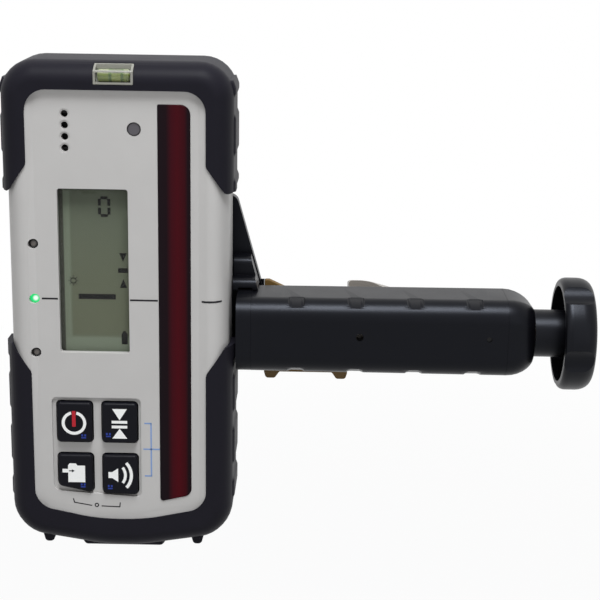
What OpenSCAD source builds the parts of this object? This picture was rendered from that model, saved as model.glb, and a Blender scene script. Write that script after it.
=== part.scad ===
// Laser receiver on a rod clamp: a tall casing with a display, a detector window and keys,
// carried by a bracket whose grip handle holds the clamp screw.
// Origin: centre of the fixed jaw's rod face. X runs along the clamp screw towards the knob,
// Y runs away from the display side and Z is up.

/* [Casing] */
// Width over the bumpers, without their grip ribs
body_w = 70.8; // [69:0.2:76]
// Height of the top above the on-grade line
body_top = 73; // [72:0.5:78]
// Distance from the on-grade line down to the lowest point of the bottom
body_bottom = 84; // [81:0.5:88]
// Depth from the front panel to the back
body_d = 30; // [29.5:0.5:36]
// Corner radius of the casing
corner_r = 10; // [7:0.5:12]
// How far the bottom corners rise above the middle of the bottom
corner_rise = 5.7; // [3:0.1:8]
// Wall thickness of the two shells
wall = 2.2; // [1.8:0.1:2.4]
// Depth of the parting plane between the shells
split_d = 13; // [12.6:0.1:13.6]
// Inset of the front edge's rounding
bevel_in = 6.2; // [4:0.1:7]
// Depth over which the front edge rounds off
bevel_d = 8; // [6:0.5:10]
// Inset of the back edge's rounding
back_in = 3.6; // [2:0.1:4]
// Depth over which the back edge rounds off
back_d = 6; // [4:0.5:8]

/* [Bumpers] */
// Thickness of the rubber on the casing's sides
bumper_t = 1.4; // [1:0.1:2]
// How far the rubber stands in front of the panel
bumper_front = 1.5; // [0.8:0.1:2.5]
// How far the rubber stands behind the back
bumper_back = 0.6; // [0.4:0.1:0.9]
// Half width of the front panel between the bumpers
panel_half = 27.2; // [26:0.1:28]
// Half width of the back between the bumpers
back_half = 31; // [30.6:0.1:31.6]
// Top edge of the front panel above the on-grade line
panel_top = 64.1; // [62.5:0.1:65]
// Bottom edge of the front panel below the on-grade line
panel_bottom = 73.6; // [71:0.1:74.4]
// Bottom edge of the back between the bumpers, below the on-grade line
back_bottom = 75.6; // [75:0.1:76]
// Lower end of the top bumper above the on-grade line
upper_end = 33.4; // [30:0.2:36]
// Upper end of the bottom bumper below the on-grade line
lower_end = 15; // [13:0.2:18]
// Height of the slanted bumper ends
end_slant = 8.5; // [6:0.5:11]
// Height of the grip ribs on the bumper sides
rib_h = 0.6; // [0.3:0.1:0.6]
// Height of one grip rib
rib_len = 12; // [8:0.5:14]
// Distance from one grip rib to the next
rib_pitch = 17.5; // [16:0.5:20]
// Distance from the centre to each foot
foot_x = 24; // [18:0.5:26]
// Width of a foot
foot_w = 3.5; // [2.5:0.1:5]
// Height of a foot under the bottom
foot_h = 2; // [1:0.1:3]
// Width of the flat pad between the feet
sole_w = 25; // [16:0.5:30]

/* [Detector window] */
// Distance of the window's centre line from the casing's centre
window_x = 17.55; // [17.2:0.05:18]
// Width of the window
window_w = 9.9; // [8:0.1:10.4]
// Window above the on-grade line
window_up = 60.5; // [56:0.5:61.5]
// Window below the on-grade line
window_down = 65; // [60:0.5:66]
// Corner radius of the window
window_r = 2.5; // [1:0.1:4]
// How far the window stands in front of the panel
window_proud = 0.3; // [0.1:0.1:0.6]

/* [Display] */
// Centre of the display, left of the casing's centre
lcd_x = 7.4; // [7:0.1:7.8]
// Width of the display opening
lcd_w = 21.5; // [18:0.1:22]
// Display opening above the on-grade line
lcd_up = 34.5; // [28:0.5:36]
// Display opening below the on-grade line
lcd_down = 17.2; // [14:0.2:19]
// How deep the display cover sits below the panel
lcd_recess = 1; // [0.5:0.1:1.2]
// Thickness of the display glass
lcd_t = 2; // [1.5:0.1:2.4]

/* [Keys] */
// Width of a key
key_w = 11.1; // [9:0.1:11.6]
// Height of a key
key_h = 13.3; // [11:0.1:13.6]
// Distance from one key column to the next
key_step_x = 14.2; // [13.6:0.1:14.4]
// Distance from one key row to the next
key_step_z = 17.3; // [16.6:0.1:17.6]
// Middle of the keypad, left of the casing's centre
keypad_x = 7.2; // [6.9:0.1:7.6]
// Middle of the keypad below the on-grade line
keypad_z = 48.7; // [47.8:0.1:49]
// How far a key stands in front of the panel
key_proud = 0.9; // [0.9:0.1:1.6]
// Travel of a key
key_travel = 0.7; // [0.4:0.1:0.8]
// Depth of the pocket round the keys
pocket_d = 0.5; // [0.3:0.1:0.8]

/* [Lamps, sensor and buzzer] */
// Distance of the lamps left of the casing's centre
lamp_x = 25.8; // [24.8:0.1:26]
// Distance from one lamp to the next
lamp_step = 17.3; // [15:0.1:18]
// Diameter of a lamp
lamp_d = 3; // [2.4:0.1:3.2]
// Distance of the light sensor right of the casing's centre
sensor_x = 5.5; // [4:0.1:6]
// Height of the light sensor above the on-grade line
sensor_z = 52.9; // [50:0.1:55]
// Diameter of the light sensor's lens
sensor_d = 4.2; // [3:0.1:5]
// Distance of the sound holes left of the casing's centre
sound_x = 15.4; // [13:0.1:16]
// Height of the middle of the sound holes above the on-grade line
sound_z = 52.1; // [50.5:0.1:53]
// Distance from one sound hole to the next
sound_step = 3.45; // [3:0.05:3.6]
// Diameter of a sound hole
sound_d = 2.2; // [1.6:0.1:2.4]
// Diameter of the buzzer
buzzer_d = 12; // [11.5:0.1:13]

/* [Level vial] */
// Width of the vial's frame
vial_w = 12; // [9:0.2:14]
// Bottom of the vial's frame above the on-grade line
vial_z = 66.2; // [65.8:0.1:66.8]
// Height of the vial's frame
vial_h = 6.1; // [5.8:0.1:6.3]
// Depth of the vial's frame behind the panel's plane
vial_depth = 7; // [6.2:0.1:8]
// Outside diameter of the vial's tube
vial_tube_d = 4.6; // [4:0.1:5]
// Wall of the vial's tube
vial_wall = 0.5; // [0.4:0.05:0.7]

/* [Boards and battery] */
// Depth of the main board's front
board_d = 7; // [6.6:0.1:7.2]
// Thickness of a circuit board
board_t = 1.6; // [1:0.1:1.6]
// Depth of the sensor board's front
sensor_board_d = 9; // [8.8:0.1:9.2]
// Number of photodiodes behind the window
diode_count = 8; // [6:1:9]
// Diameter of a battery cell
cell_d = 14.2; // [13.5:0.1:14.3]
// Length of a battery cell
cell_len = 50.2; // [48:0.1:50.6]
// Length of a battery contact
contact_len = 3.5; // [3.1:0.1:3.8]
// Lower edge of the battery bay below the on-grade line
bay_low = 63.8; // [63.4:0.1:64.2]
// Wall of the battery bay
bay_wall = 1.2; // [0.8:0.1:1.4]
// Thickness of the battery door
door_t = 1.85; // [1.5:0.05:1.9]
// Diameter of the door's hinge pin
pin_d = 1.6; // [1.2:0.1:1.8]

/* [Bracket frame] */
// Distance from the fixed jaw's face left to the casing's side
casing_gap = 8.6; // [7.7:0.1:10]
// Height of the on-grade line above the clamp screw
grade_rise = 12.9; // [12:0.1:15]
// Thickness of the plate behind the casing
plate_t = 4; // [3:0.1:4.5]
// Height of the boss that the plate seats on
boss_h = 1; // [1:0.1:1.6]
// Height of the bracket's thumb screw above the on-grade line
screw_rise = 6; // [2:0.5:9]
// Diameter of the thumb screw's thread
screw_d = 6.35; // [5:0.05:6.5]
// Diameter of the thumb screw's head
screw_head_d = 21; // [16:0.5:24]
// Height of the gusset's top corner above the clamp screw
gusset_top = 41; // [36:0.5:46]
// Width of the plate's foot at the fixed jaw
gusset_foot = 6.6; // [6:0.1:7]
// Height of the upper step of the gusset above the clamp screw
step_high = 21.5; // [19:0.5:24]
// Height of the lower step of the gusset above the clamp screw
step_low = 15.8; // [15:0.1:17]

/* [Clamp jaws] */
// Opening of the jaws as they stand
jaw_gap = 28; // [24:0.5:30]
// Smallest opening of the jaws
jaw_closed = 6; // [5:0.5:10]
// Height of the jaws beside the handle
jaw_h = 25; // [24:0.5:30]
// Height of the jaws at their tips
jaw_tip_h = 14.5; // [12:0.5:24]
// Length of the jaws behind the handle
jaw_reach = 22; // [18:0.5:26]
// Thickness of the fixed jaw
jaw_t = 7; // [6.6:0.1:7.1]
// Length of the moving jaw's flat top
jaw_flat = 6.6; // [5:0.1:9]
// Length of the moving jaw
jaw_len = 17.6; // [16.5:0.1:19]
// Height of the moving jaw's low end
jaw_tail = 15; // [12:0.5:20]
// Thickness of the rod pads on the handle
pad_t = 2.6; // [1.5:0.1:4]
// Top of the upper rod pad above the clamp screw
pad_top = 9.8; // [8:0.1:10.4]
// Bottom of the lower rod pad below the clamp screw
pad_bottom = 18.6; // [15:0.1:19]
// How far the pads' corner nubs stand out
nub_h = 2.2; // [1:0.1:3]
// Width of a corner nub
nub_w = 4.4; // [3:0.1:6]

/* [Grip handle] */
// Height of the handle at the bracket
grip_h = 24; // [23.4:0.1:26]
// Height of the handle at its end cap
grip_end_h = 24.6; // [24:0.1:29]
// Depth of the handle from front to back
grip_d = 25.6; // [25:0.1:26]
// Distance of the clamp screw in front of the handle's back
grip_axis = 13; // [12.8:0.1:13.2]
// Radius of the handle's front edges
grip_front_r = 6.5; // [4:0.5:9]
// Radius of the handle's back edges
grip_back_r = 4.5; // [1:0.1:5]
// Left end of the bracket's end wall, left of the fixed jaw's face
grip_start = 7.1; // [6.8:0.1:7.1]
// Thickness of the end wall that carries the handle
end_wall = 3.9; // [3.6:0.1:4.4]
// Distance from the fixed jaw's face to the end cap
grip_len = 77.6; // [77:0.2:84]
// Length of the end cap's spigot inside the handle
spigot_len = 7.45; // [6:0.05:7.6]
// Length of the end cap's dome
cap_len = 9; // [9:0.5:14]
// Half height of the handle's bore
bore_half = 8.5; // [8.3:0.1:8.8]
// Width of the slot in the handle's back
slot_w = 8; // [7:0.1:9]
// Diameter of the pin hole in the handle's front
pin_hole_d = 2.4; // [1.6:0.1:3]

/* [Clamp screw and knob] */
// Diameter of the clamp spindle
spindle_d = 8; // [7:0.1:8.4]
// Diameter of the spindle's nose
nose_d = 5; // [4:0.1:5.6]
// Outside diameter of the spindle's bush
bush_d = 12; // [11:0.1:12.6]
// Diameter of the jaw nut
nut_d = 14; // [13:0.1:14.4]
// Length of the carriage inside the handle
carriage_len = 16; // [14:0.1:16.4]
// Diameter over the knob's lobes
knob_d = 36; // [32:0.5:42]
// Thickness of the knob
knob_t = 10; // [8:0.5:14]
// Number of lobes on the knob
knob_lobes = 5; // [5:1:8]
// Angle that the knob stands at
knob_turned = -3.5; // [-30:0.5:30]
// Diameter of the knob's hub
hub_d = 15.2; // [14.4:0.1:17]
// Length of the knob's hub
hub_len = 8; // [4.6:0.1:9]

/* [Clearances] */
// Gap between pieces that are fixed together
fit_gap = 0.05; // [0.02:0.01:0.08]
// Gap round pieces that slide or swing
slide_gap = 0.35; // [0.3:0.01:0.4]
// Radial gap of a shaft in its bearing
run_gap = 0.05; // [0.02:0.01:0.08]

/* [Hidden] */
$fn = 48;

corner_steps = 6;
edge_step = 30;
far = 200;
skin = 0.1;
shell_half = body_w / 2 - bumper_t;
shell_top = body_top - bumper_t;
shell_low = body_bottom - bumper_t;
low_r = 11;
foot_front = 4;
sole_front = 4.5;
sole_r = 60;
panel_r = 6.5;
case_screw_in = 6;
case_screw_x = shell_half - case_screw_in;
case_screw_z = [57, -27];
case_screw_d = 2.9;
case_head_d = 4.6;
case_head_h = 1.6;
case_boss_d = 5.5;
case_screw_tip = 2;
hole_spare = 0.1;
board_screw_d = 2;
board_head_d = 4;
board_head_h = 1.3;
board_boss_d = 4.4;
board_hole_spare = 0.2;
board_screw_tip = 1;
board_left = -24.8;
board_right = 9.2;
board_screw_in = 2.5;
board_screw_z = [41, -25.5];
board_screw_x = [board_left + board_screw_in, board_right - board_screw_in];
sensor_screw_in = 2;
sensor_screw_z = [40, -45];
sensor_board_edge = 0.4;
sensor_board_drop = 2;
diode_h = 2.2;
diode_share = 0.7;
board_up = 62;
board_down = 66;
lip = 1.2;
lcd_lip_t = 1;
lcd_r = 0.8;
lcd_in = 0.5;
lcd_holder_t = 0.9;
pocket_top = 0.5;
pocket_low = 1;
pocket_r = 2;
post_share = 0.6;
lamp_flange = 0.4;
sensor_flange = 0.6;
lamp_seat = 1;
buzzer_wall = 0.8;
buzzer_floor = 2;
key_rim = 0.9;
key_flange_t = 1.2;
key_r = 1.2;
seal_w = 1;
seal_h = 1.2;
cell_gap = 0.4;
cell_room = 0.5;
button_h = 1;
button_share = 0.36;
spring_share = 0.4;
contact_t = 0.45;
bay_half = cell_len / 2 + contact_len;
bay_up = bay_low - 2 * cell_d - cell_gap - 2 * cell_room;
bay_step = 0.8;
bay_front = split_d - bay_step;
cell_depth = body_d - door_t - slide_gap - cell_d / 2;
door_land = 0.6;
door_foot = 0.4;
door_half = bay_half + door_land;
door_low = bay_low + door_foot;
door_up = bay_up - door_land;
door_root = 1;
notch_d = 16;
hinge_drop = 2.4;
hinge_in = 1.4;
hinge_z = bay_low + hinge_drop;
hinge_d = body_d - hinge_in;
knuckle_wall = 0.9;
knuckle_r = pin_d / 2 + knuckle_wall;
lug_wall = 1;
knuckle_in = 9;
door_r = 1.5;
door_swing_gap = 1;
knuckle_out = 16.6;
lug_out = 22;
vial_x = -0.4;
insert_d = 9;
insert_len = 8;
insert_wall = 2;
boss_rim = 3;
casing_offset = body_w / 2 + casing_gap;
jaw_clear = 0.4;
panel_depth = body_d + pad_t + jaw_clear + jaw_reach / 2;
plate_front = body_d + boss_h;
axis_y = -panel_depth + body_d - grip_axis;
grip_back = -panel_depth + body_d;
grip_front = grip_back - grip_d;
grip_x0 = -grip_start + end_wall;
jaw_y0 = -jaw_reach / 2;
pad_back = grip_back + pad_t;
carriage_in = 1;
carriage_x = jaw_gap + carriage_in;
nut_in = 2;
nut_spare = 0.5;
ring_t = 1;
ring_rim = 0.25;
washer_rim = 0.5;
grip_wall = 3.6;
bore_front = grip_front + grip_wall;
bore_back = grip_back - grip_wall;
spigot_x = grip_len - spigot_len;
washer_x = spigot_x - slide_gap - ring_t;
ring_x = washer_x - fit_gap - ring_t;
slot_spare = 1;
slot_x0 = carriage_x + jaw_closed - jaw_gap - slot_spare;
slot_x1 = ring_x;
cap_end = grip_len + cap_len;
knob_x = cap_end + slide_gap + hub_len;
knob_floor = 3;
spindle_end = knob_x + knob_t - knob_floor;
nose_proud = 2;
nose_floor = 1;
nose_x = grip_x0 + nose_proud;
nose_bush_d = 9;
knob_pin_d = 2.5;
knob_cap_d = 14;
knob_cap_t = 1.5;
knob_edge = 2.5;
knob_rim = 4.5;
knob_dish = 4;
knob_pin_in = 0.6;
scallop_d = 14;
scallop_out = 5.5;
grip_screw_d = 2;
grip_head_d = 3.4;
grip_head_h = 1.6;
grip_screw_share = 0.42;
grip_screw_z = bore_half + (grip_h / 2 - bore_half) * grip_screw_share;
grip_screw_len = 10;
grip_screw_spare = 1;
grip_screw_end = grip_x0 + grip_screw_len;
pin_hole_x = 31.1;
pin_hole_z = 0.9;
cap_screw_in = 1.6;
cap_screw_x = spigot_x + cap_screw_in;
cap_screw_d = 1.6;
cap_screw_tip = 2.5;
cap_screw_sunk = 0.6;
cap_rim = 0.5;
cap_ease = 1;
pad_x0 = 0.3;
pad_land = 0.6;
pad_low = slot_w / 2 + pad_land;
upper_nub = 3;
upper_nub_w = 1.5;
upper_slope = 8;
plate_y = plate_front + fit_gap - panel_depth;
plate_right = gusset_foot - jaw_t;
plate_end = 16;
plate_end_r = 14;
plate_top_r = 3;
plate_foot_r = 2;
rib_root = 1;
rib_reach = 15.4;
rib_drop = 2;
gusset_lean = 8.8;
gusset_base = 10;
step_low_d = 18;
step_high_d = 24;
screw_head_h = 8;
screw_tip = 1;
screw_grips = 8;
screw_grip_d = 4.2;
screw_grip_out = 1;
lens_recess = 0.3;
vial_rise = 0.4;
bubble_d = 1.6;
bubble_len = 3;
vial_tube_y = vial_depth / 2 - vial_rise;
vial_tube_z = vial_z + vial_h / 2;

function xy(p) = [p[0], p[1]];
function unit(v) = v / norm(v);

// Points of the arc that rounds corner b, between a and c, to radius r
function fillet(a, b, c, r) =
    let (u = unit(a - b), v = unit(c - b), half = acos(u * v) / 2)
    let (centre = b + unit(u + v) * r / sin(half))
    let (p = b + u * r / tan(half) - centre, q = b + v * r / tan(half) - centre)
    let (start = atan2(p[1], p[0]), turn = atan2(q[1], q[0]) - start)
    let (sweep = turn > 180 ? turn - 360 : turn < -180 ? turn + 360 : turn)
    [for (i = [0:corner_steps])
        centre + r * [cos(start + sweep * i / corner_steps), sin(start + sweep * i / corner_steps)]];

// Closed outline from corners given as [across, up, radius], with a sharp corner at radius 0
function rounded(pts) =
    let (n = len(pts))
    [for (i = [0:n - 1])
        each pts[i][2] == 0
            ? [xy(pts[i])]
            : fillet(xy(pts[(i + n - 1) % n]), xy(pts[i]), xy(pts[(i + 1) % n]), pts[i][2])];

function box_outline(x0, x1, z0, z1, r) = rounded([[x0, z0, r], [x1, z0, r], [x1, z1, r], [x0, z1, r]]);

// Outline of the shells, grown by g all round
function casing(g) = rounded([
    [-shell_half - g, shell_top + g, corner_r + g],
    [shell_half + g, shell_top + g, corner_r + g],
    [shell_half + g, corner_rise - shell_low - g, low_r + g],
    [0, -shell_low - g, sole_r],
    [-shell_half - g, corner_rise - shell_low - g, low_r + g],
]);

// Depths and insets of the casing's rounded section, from depth d0 to depth d1
function section(d0, d1, f_in, f_d) = concat(
    [for (t = [0:edge_step:90]) [d0 + f_d * (1 - cos(t)), f_in * (1 - sin(t))]],
    [for (t = [90:-edge_step:0]) [d1 - back_d * (1 - cos(t)), back_in * (1 - sin(t))]]
);

// Extrudes an outline drawn in X and Z from depth d0 to depth d1 along Y
module slab(pts, d0, d1) {
    translate([0, d1, 0])
        rotate([90, 0, 0])
            linear_extrude(d1 - d0)
                polygon(pts);
}

// Extrudes an outline drawn in Y and Z along X
module bar(pts, x0, x1) {
    translate([x0, 0, 0])
        rotate([90, 0, 90])
            linear_extrude(x1 - x0)
                polygon(pts);
}

module rod_x(d, x0, x1) {
    translate([x0, 0, 0])
        rotate([0, 90, 0])
            cylinder(d = d, h = x1 - x0);
}

module rod_y(d, y0, y1) {
    translate([0, y0, 0])
        rotate([-90, 0, 0])
            cylinder(d = d, h = y1 - y0);
}

module block(x0, x1, y0, y1, z0, z1) {
    translate([x0, y0, z0])
        cube([x1 - x0, y1 - y0, z1 - z0]);
}

module at(x, z) {
    translate([x, 0, z])
        children();
}

// Receiver's own frame: X from its centre line, Y from the panel's plane, Z from the on-grade line
module on_receiver() {
    translate([-casing_offset, -panel_depth, grade_rise])
        children();
}

// Clamp screw's own frame: the spindle's axis is X
module on_axis() {
    translate([0, axis_y, 0])
        children();
}

// Solid through the casing's outlines at the depths and insets of a section, grown by g
module body(profile, g) {
    rings = [for (p = profile) [for (q = casing(g - p[1])) [q[0], p[0], q[1]]]];
    n = len(rings[0]);
    last = len(profile) - 1;
    sides = [for (k = [0:last - 1], i = [0:n - 1])
        let (a = k * n + i, b = k * n + (i + 1) % n)
        each [[a, a + n, b], [b, a + n, b + n]]];
    caps = [[for (i = [0:n - 1]) i], [for (i = [n - 1:-1:0]) last * n + i]];
    polyhedron([for (ring = rings, q = ring) q], concat(sides, caps));
}

module shell_body(g) {
    body(section(-g, body_d + g, bevel_in, bevel_d), g);
}

module shell_cavity() {
    body(section(wall, body_d - wall, bevel_in, bevel_d), -wall);
}

module rubber_body() {
    body(section(-bumper_front, body_d + bumper_back, bevel_in, bevel_d), bumper_t);
}

module at_case_screws() {
    for (x = [-case_screw_x, case_screw_x], z = case_screw_z)
        at(x, z) children();
}

module at_board_screws() {
    for (x = board_screw_x, z = board_screw_z)
        at(x, z) children();
}

module at_sensor_screws() {
    for (z = sensor_screw_z)
        at(case_screw_x - sensor_screw_in, z) children();
}

// Key centres, by column and row: 0 is left or upper, 1 is right or lower
function key_at(col, row) = [-keypad_x + (col - 0.5) * key_step_x, -keypad_z + (0.5 - row) * key_step_z];
function key_outline(col, row, g) =
    let (c = key_at(col, row), w = key_w / 2 + g, h = key_h / 2 + g)
    box_outline(c[0] - w, c[0] + w, c[1] - h, c[1] + h, key_r + g);
function window_outline(g) = box_outline(
    window_x - window_w / 2 - g, window_x + window_w / 2 + g, -window_down - g, window_up + g, window_r + g);
function lcd_outline(g) = box_outline(
    -lcd_x - lcd_w / 2 - g, -lcd_x + lcd_w / 2 + g, -lcd_down - g, lcd_up + g, lcd_r + g);

module vial_block(g) {
    half = vial_w / 2 + g;
    block(vial_x - half, vial_x + half, -far, vial_depth + g, vial_z - g, vial_z + vial_h + g);
}

module front_shell() {
    color("#b5b3b2")
        on_receiver()
            difference() {
                union() {
                    difference() {
                        shell_body(0);
                        shell_cavity();
                    }
                    intersection() {
                        shell_body(0);
                        vial_block(bay_wall);
                    }
                    at_case_screws()
                        rod_y(case_boss_d, wall / 2, split_d);
                    at_board_screws()
                        rod_y(board_boss_d, wall / 2, board_d - fit_gap);
                    at_sensor_screws()
                        rod_y(board_boss_d, wall / 2, sensor_board_d - fit_gap);
                }
                block(-far, far, split_d, far, -far, far);
                seal_ring(fit_gap);
                slab(window_outline(fit_gap), -far, wall + fit_gap);
                slab(lcd_outline(fit_gap), -far, wall + fit_gap);
                slab(box_outline(-keypad_x - key_step_x, -keypad_x + key_step_x,
                    pocket_low - keypad_z - key_step_z, key_step_z - keypad_z - pocket_top, pocket_r),
                    -far, pocket_d);
                for (col = [0, 1], row = [0, 1])
                    slab(key_outline(col, row, slide_gap), -far, wall + fit_gap);
                for (i = [-1:1])
                    at(-lamp_x, i * lamp_step) rod_y(lamp_d + 2 * fit_gap, -far, bevel_d);
                for (i = [-1.5:1.5])
                    at(-sound_x, sound_z + i * sound_step) rod_y(sound_d, -far, bevel_d);
                at(sensor_x, sensor_z) rod_y(sensor_d + 2 * fit_gap, -far, bevel_d);
                at_case_screws()
                    rod_y(case_screw_d + 2 * fit_gap, wall, far);
                at_board_screws()
                    rod_y(board_screw_d + 2 * fit_gap, wall, far);
                at_sensor_screws()
                    rod_y(board_screw_d + 2 * fit_gap, wall, far);
                vial_block(fit_gap);
            }
}

module rear_shell() {
    color("#a5a3a2")
        on_receiver()
            difference() {
                union() {
                    difference() {
                        shell_body(0);
                        shell_cavity();
                    }
                    block(-bay_half - bay_wall, bay_half + bay_wall, bay_front, body_d - wall / 2,
                        -bay_low - bay_wall, bay_wall - bay_up);
                    at_case_screws()
                        rod_y(case_boss_d, split_d + fit_gap, body_d - wall / 2);
                    at(0, screw_rise)
                        rod_y(insert_d + 2 * insert_wall, plate_front - insert_len - bay_wall, body_d);
                    at(0, screw_rise)
                        rod_y(screw_head_d + 2 * boss_rim, body_d - wall / 2, plate_front);
                    for (side = [0, 1])
                        mirror([side, 0, 0])
                            translate([0, hinge_d, -hinge_z])
                                rod_x(2 * knuckle_r, knuckle_out + slide_gap, lug_out);
                }
                difference() {
                    block(-far, far, -far, split_d + fit_gap, -far, far);
                    block(-bay_half - bay_wall, bay_half + bay_wall, bay_front, far,
                        -bay_low - bay_wall, bay_wall - bay_up);
                }
                block(-bay_half, bay_half, bay_front + bay_wall, far, -bay_low, -bay_up);
                block(-door_half - slide_gap, door_half + slide_gap, body_d - door_t - slide_gap, far,
                    -door_low - door_swing_gap, slide_gap - door_up);
                block(-knuckle_out - slide_gap, knuckle_out + slide_gap, hinge_d - knuckle_r - slide_gap, far,
                    -hinge_z - knuckle_r - slide_gap, -door_low);
                seal_ring(fit_gap);
                at_case_screws()
                    rod_y(case_screw_d + 2 * hole_spare, split_d - bay_step, far);
                at_case_screws()
                    rod_y(case_head_d + 2 * hole_spare, body_d - case_head_h - fit_gap, far);
                at(0, screw_rise)
                    rod_y(insert_d + 2 * fit_gap, plate_front - insert_len - fit_gap, far);
                translate([0, hinge_d, -hinge_z])
                    rod_x(pin_d + 2 * fit_gap, lug_wall - lug_out, lug_out - lug_wall);
            }
}

// Ring between the shells, halfway through their walls
module seal_ring(g) {
    difference() {
        slab(casing((seal_w - wall) / 2 + g), split_d - seal_h / 2 - g, split_d + seal_h / 2 + g);
        slab(casing(-(seal_w + wall) / 2 - g), -far, far);
    }
}

module housing_seal() {
    color("#202022")
        on_receiver()
            seal_ring(0);
}

// Opening of the top bumper, which leaves the panel and the waist free
function upper_opening(half) = rounded([
    [-half, panel_top, panel_r], [half, panel_top, panel_r], [half, upper_end + end_slant, 2],
    [half + end_slant * 0.7, upper_end, 1], [far, upper_end, 0], [far, -far, 0], [-far, -far, 0],
    [-far, upper_end, 0], [-half - end_slant * 0.7, upper_end, 1], [-half, upper_end + end_slant, 2],
]);

// Opening of the bottom bumper, with its lower edge at the given distance below the on-grade line
function lower_opening(half, low) = rounded([
    [-half, corner_rise - low, panel_r], [0, -low, sole_r],
    [half, corner_rise - low, panel_r], [half, -lower_end - end_slant, 2],
    [half + end_slant * 0.7, -lower_end, 1], [far, -lower_end, 0], [far, far, 0], [-far, far, 0],
    [-far, -lower_end, 0], [-half - end_slant * 0.7, -lower_end, 1], [-half, -lower_end - end_slant, 2],
]);

// Raised grip ribs on both sides, one at each height
module grip_ribs(heights) {
    for (side = [0, 1], z = heights)
        mirror([side, 0, 0])
            slab([
                [body_w / 2 - bumper_t / 2, z - rib_len / 2],
                [body_w / 2 + rib_h, z - rib_len / 2 + 2 * rib_h],
                [body_w / 2 + rib_h, z + rib_len / 2 - 2 * rib_h],
                [body_w / 2 - bumper_t / 2, z + rib_len / 2],
            ], bevel_d, body_d - back_d);
}

module top_bumper() {
    color("#26262b")
        on_receiver() {
            difference() {
                rubber_body();
                shell_body(fit_gap);
                slab(upper_opening(panel_half), -far, split_d);
                slab(upper_opening(back_half), split_d, far);
                vial_block(fit_gap);
            }
            grip_ribs([upper_end + rib_pitch]);
        }
}

module bottom_bumper() {
    slope = 2 * corner_rise / body_w;
    root = bumper_t * 3 / 4;
    color("#26262b")
        on_receiver() {
            difference() {
                rubber_body();
                shell_body(fit_gap);
                slab(lower_opening(panel_half, panel_bottom), -far, split_d);
                slab(lower_opening(back_half, back_bottom), split_d, far);
            }
            grip_ribs([for (i = [0:2]) -lower_end - rib_pitch * (i + 0.75)]);
            for (x = [-foot_x, foot_x])
                block(x - foot_w / 2, x + foot_w / 2, foot_front, body_d - back_d,
                    slope * foot_x - body_bottom - foot_h, slope * foot_x - body_bottom + root);
            slab([
                [-sole_w / 2, -body_bottom], [sole_w / 2, -body_bottom],
                [sole_w / 2, slope * sole_w / 2 - body_bottom + root],
                [0, root - body_bottom],
                [-sole_w / 2, slope * sole_w / 2 - body_bottom + root],
            ], sole_front, body_d - back_d);
        }
}

module case_screws() {
    color("#c9c9cc")
        on_receiver()
            at_case_screws()
                difference() {
                    union() {
                        rod_y(case_screw_d, wall + case_screw_tip, body_d - case_head_h + skin);
                        rod_y(case_head_d, body_d - case_head_h, body_d);
                    }
                    translate([0, body_d - case_head_h / 2, 0])
                        rotate([-90, 0, 0])
                            cylinder(d = case_head_d / 2, h = far, $fn = 6);
                }
}

module mount_insert() {
    color("#b08d45")
        on_receiver()
            at(0, screw_rise)
                difference() {
                    rod_y(insert_d, plate_front - insert_len, plate_front - fit_gap);
                    rod_y(screw_d + 2 * run_gap, -far, far);
                }
}

module detector_window() {
    color("#4a0c14")
        on_receiver() {
            slab(window_outline(0), -window_proud, wall + 2 * fit_gap);
            slab(window_outline(lip), wall + fit_gap, wall + lip);
        }
}

module lcd_cover() {
    color("#9aa58c", 0.5)
        on_receiver() {
            slab(lcd_outline(0), lcd_recess, wall + 2 * fit_gap);
            slab(lcd_outline(lip), wall + fit_gap, wall + lcd_lip_t);
        }
}

module lcd_panel() {
    color("#5d6450")
        on_receiver()
            slab(lcd_outline(lip - lcd_in), wall + lcd_lip_t + fit_gap, wall + lcd_lip_t + lcd_t);
}

module lcd_holder() {
    color("#1c1c1e")
        on_receiver()
            difference() {
                slab(lcd_outline(lip + lcd_holder_t), wall + fit_gap, board_d - fit_gap);
                slab(lcd_outline(lip + fit_gap), -far, wall + lcd_lip_t + fit_gap);
                slab(lcd_outline(lip - lcd_in + fit_gap), wall, wall + lcd_lip_t + lcd_t + fit_gap);
            }
}

module keypad_mat() {
    front = wall + slide_gap + key_flange_t + key_travel + slide_gap;
    color("#4a4a50")
        on_receiver() {
            slab(box_outline(-keypad_x - key_step_x, -keypad_x + key_step_x,
                -keypad_z - key_step_z, -keypad_z + key_step_z, pocket_r),
                (front + board_d) / 2, board_d - fit_gap);
            for (col = [0, 1], row = [0, 1])
                translate([key_at(col, row)[0], 0, key_at(col, row)[1]])
                    rod_y(key_w * post_share, front, board_d - fit_gap);
        }
}

module key(col, row) {
    color("#111219")
        on_receiver() {
            slab(key_outline(col, row, 0), -key_proud, wall + slide_gap + skin);
            slab(key_outline(col, row, key_rim), wall + slide_gap, wall + slide_gap + key_flange_t);
        }
}

module power_key() {
    key(0, 0);
}

module precision_key() {
    key(1, 0);
}

module mode_key() {
    key(0, 1);
}

module volume_key() {
    key(1, 1);
}

// Level lamp seated on the board, with its lens in the panel
module lamp(i, tint) {
    color(tint)
        on_receiver()
            at(-lamp_x, i * lamp_step) {
                rod_y(lamp_d, lens_recess, board_d - lamp_seat);
                rod_y(lamp_d + 2 * lamp_flange, wall + lamp_seat, board_d - fit_gap);
            }
}

module lamp_high() {
    lamp(1, "#3a3a3c");
}

module lamp_grade() {
    lamp(0, "#2bf08a");
}

module lamp_low() {
    lamp(-1, "#3a3a3c");
}

module light_sensor() {
    color("#55555a")
        on_receiver()
            at(sensor_x, sensor_z) {
                rod_y(sensor_d, lens_recess, board_d - lamp_seat);
                rod_y(sensor_d + 2 * sensor_flange, wall + fit_gap, board_d - fit_gap);
            }
}

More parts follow.
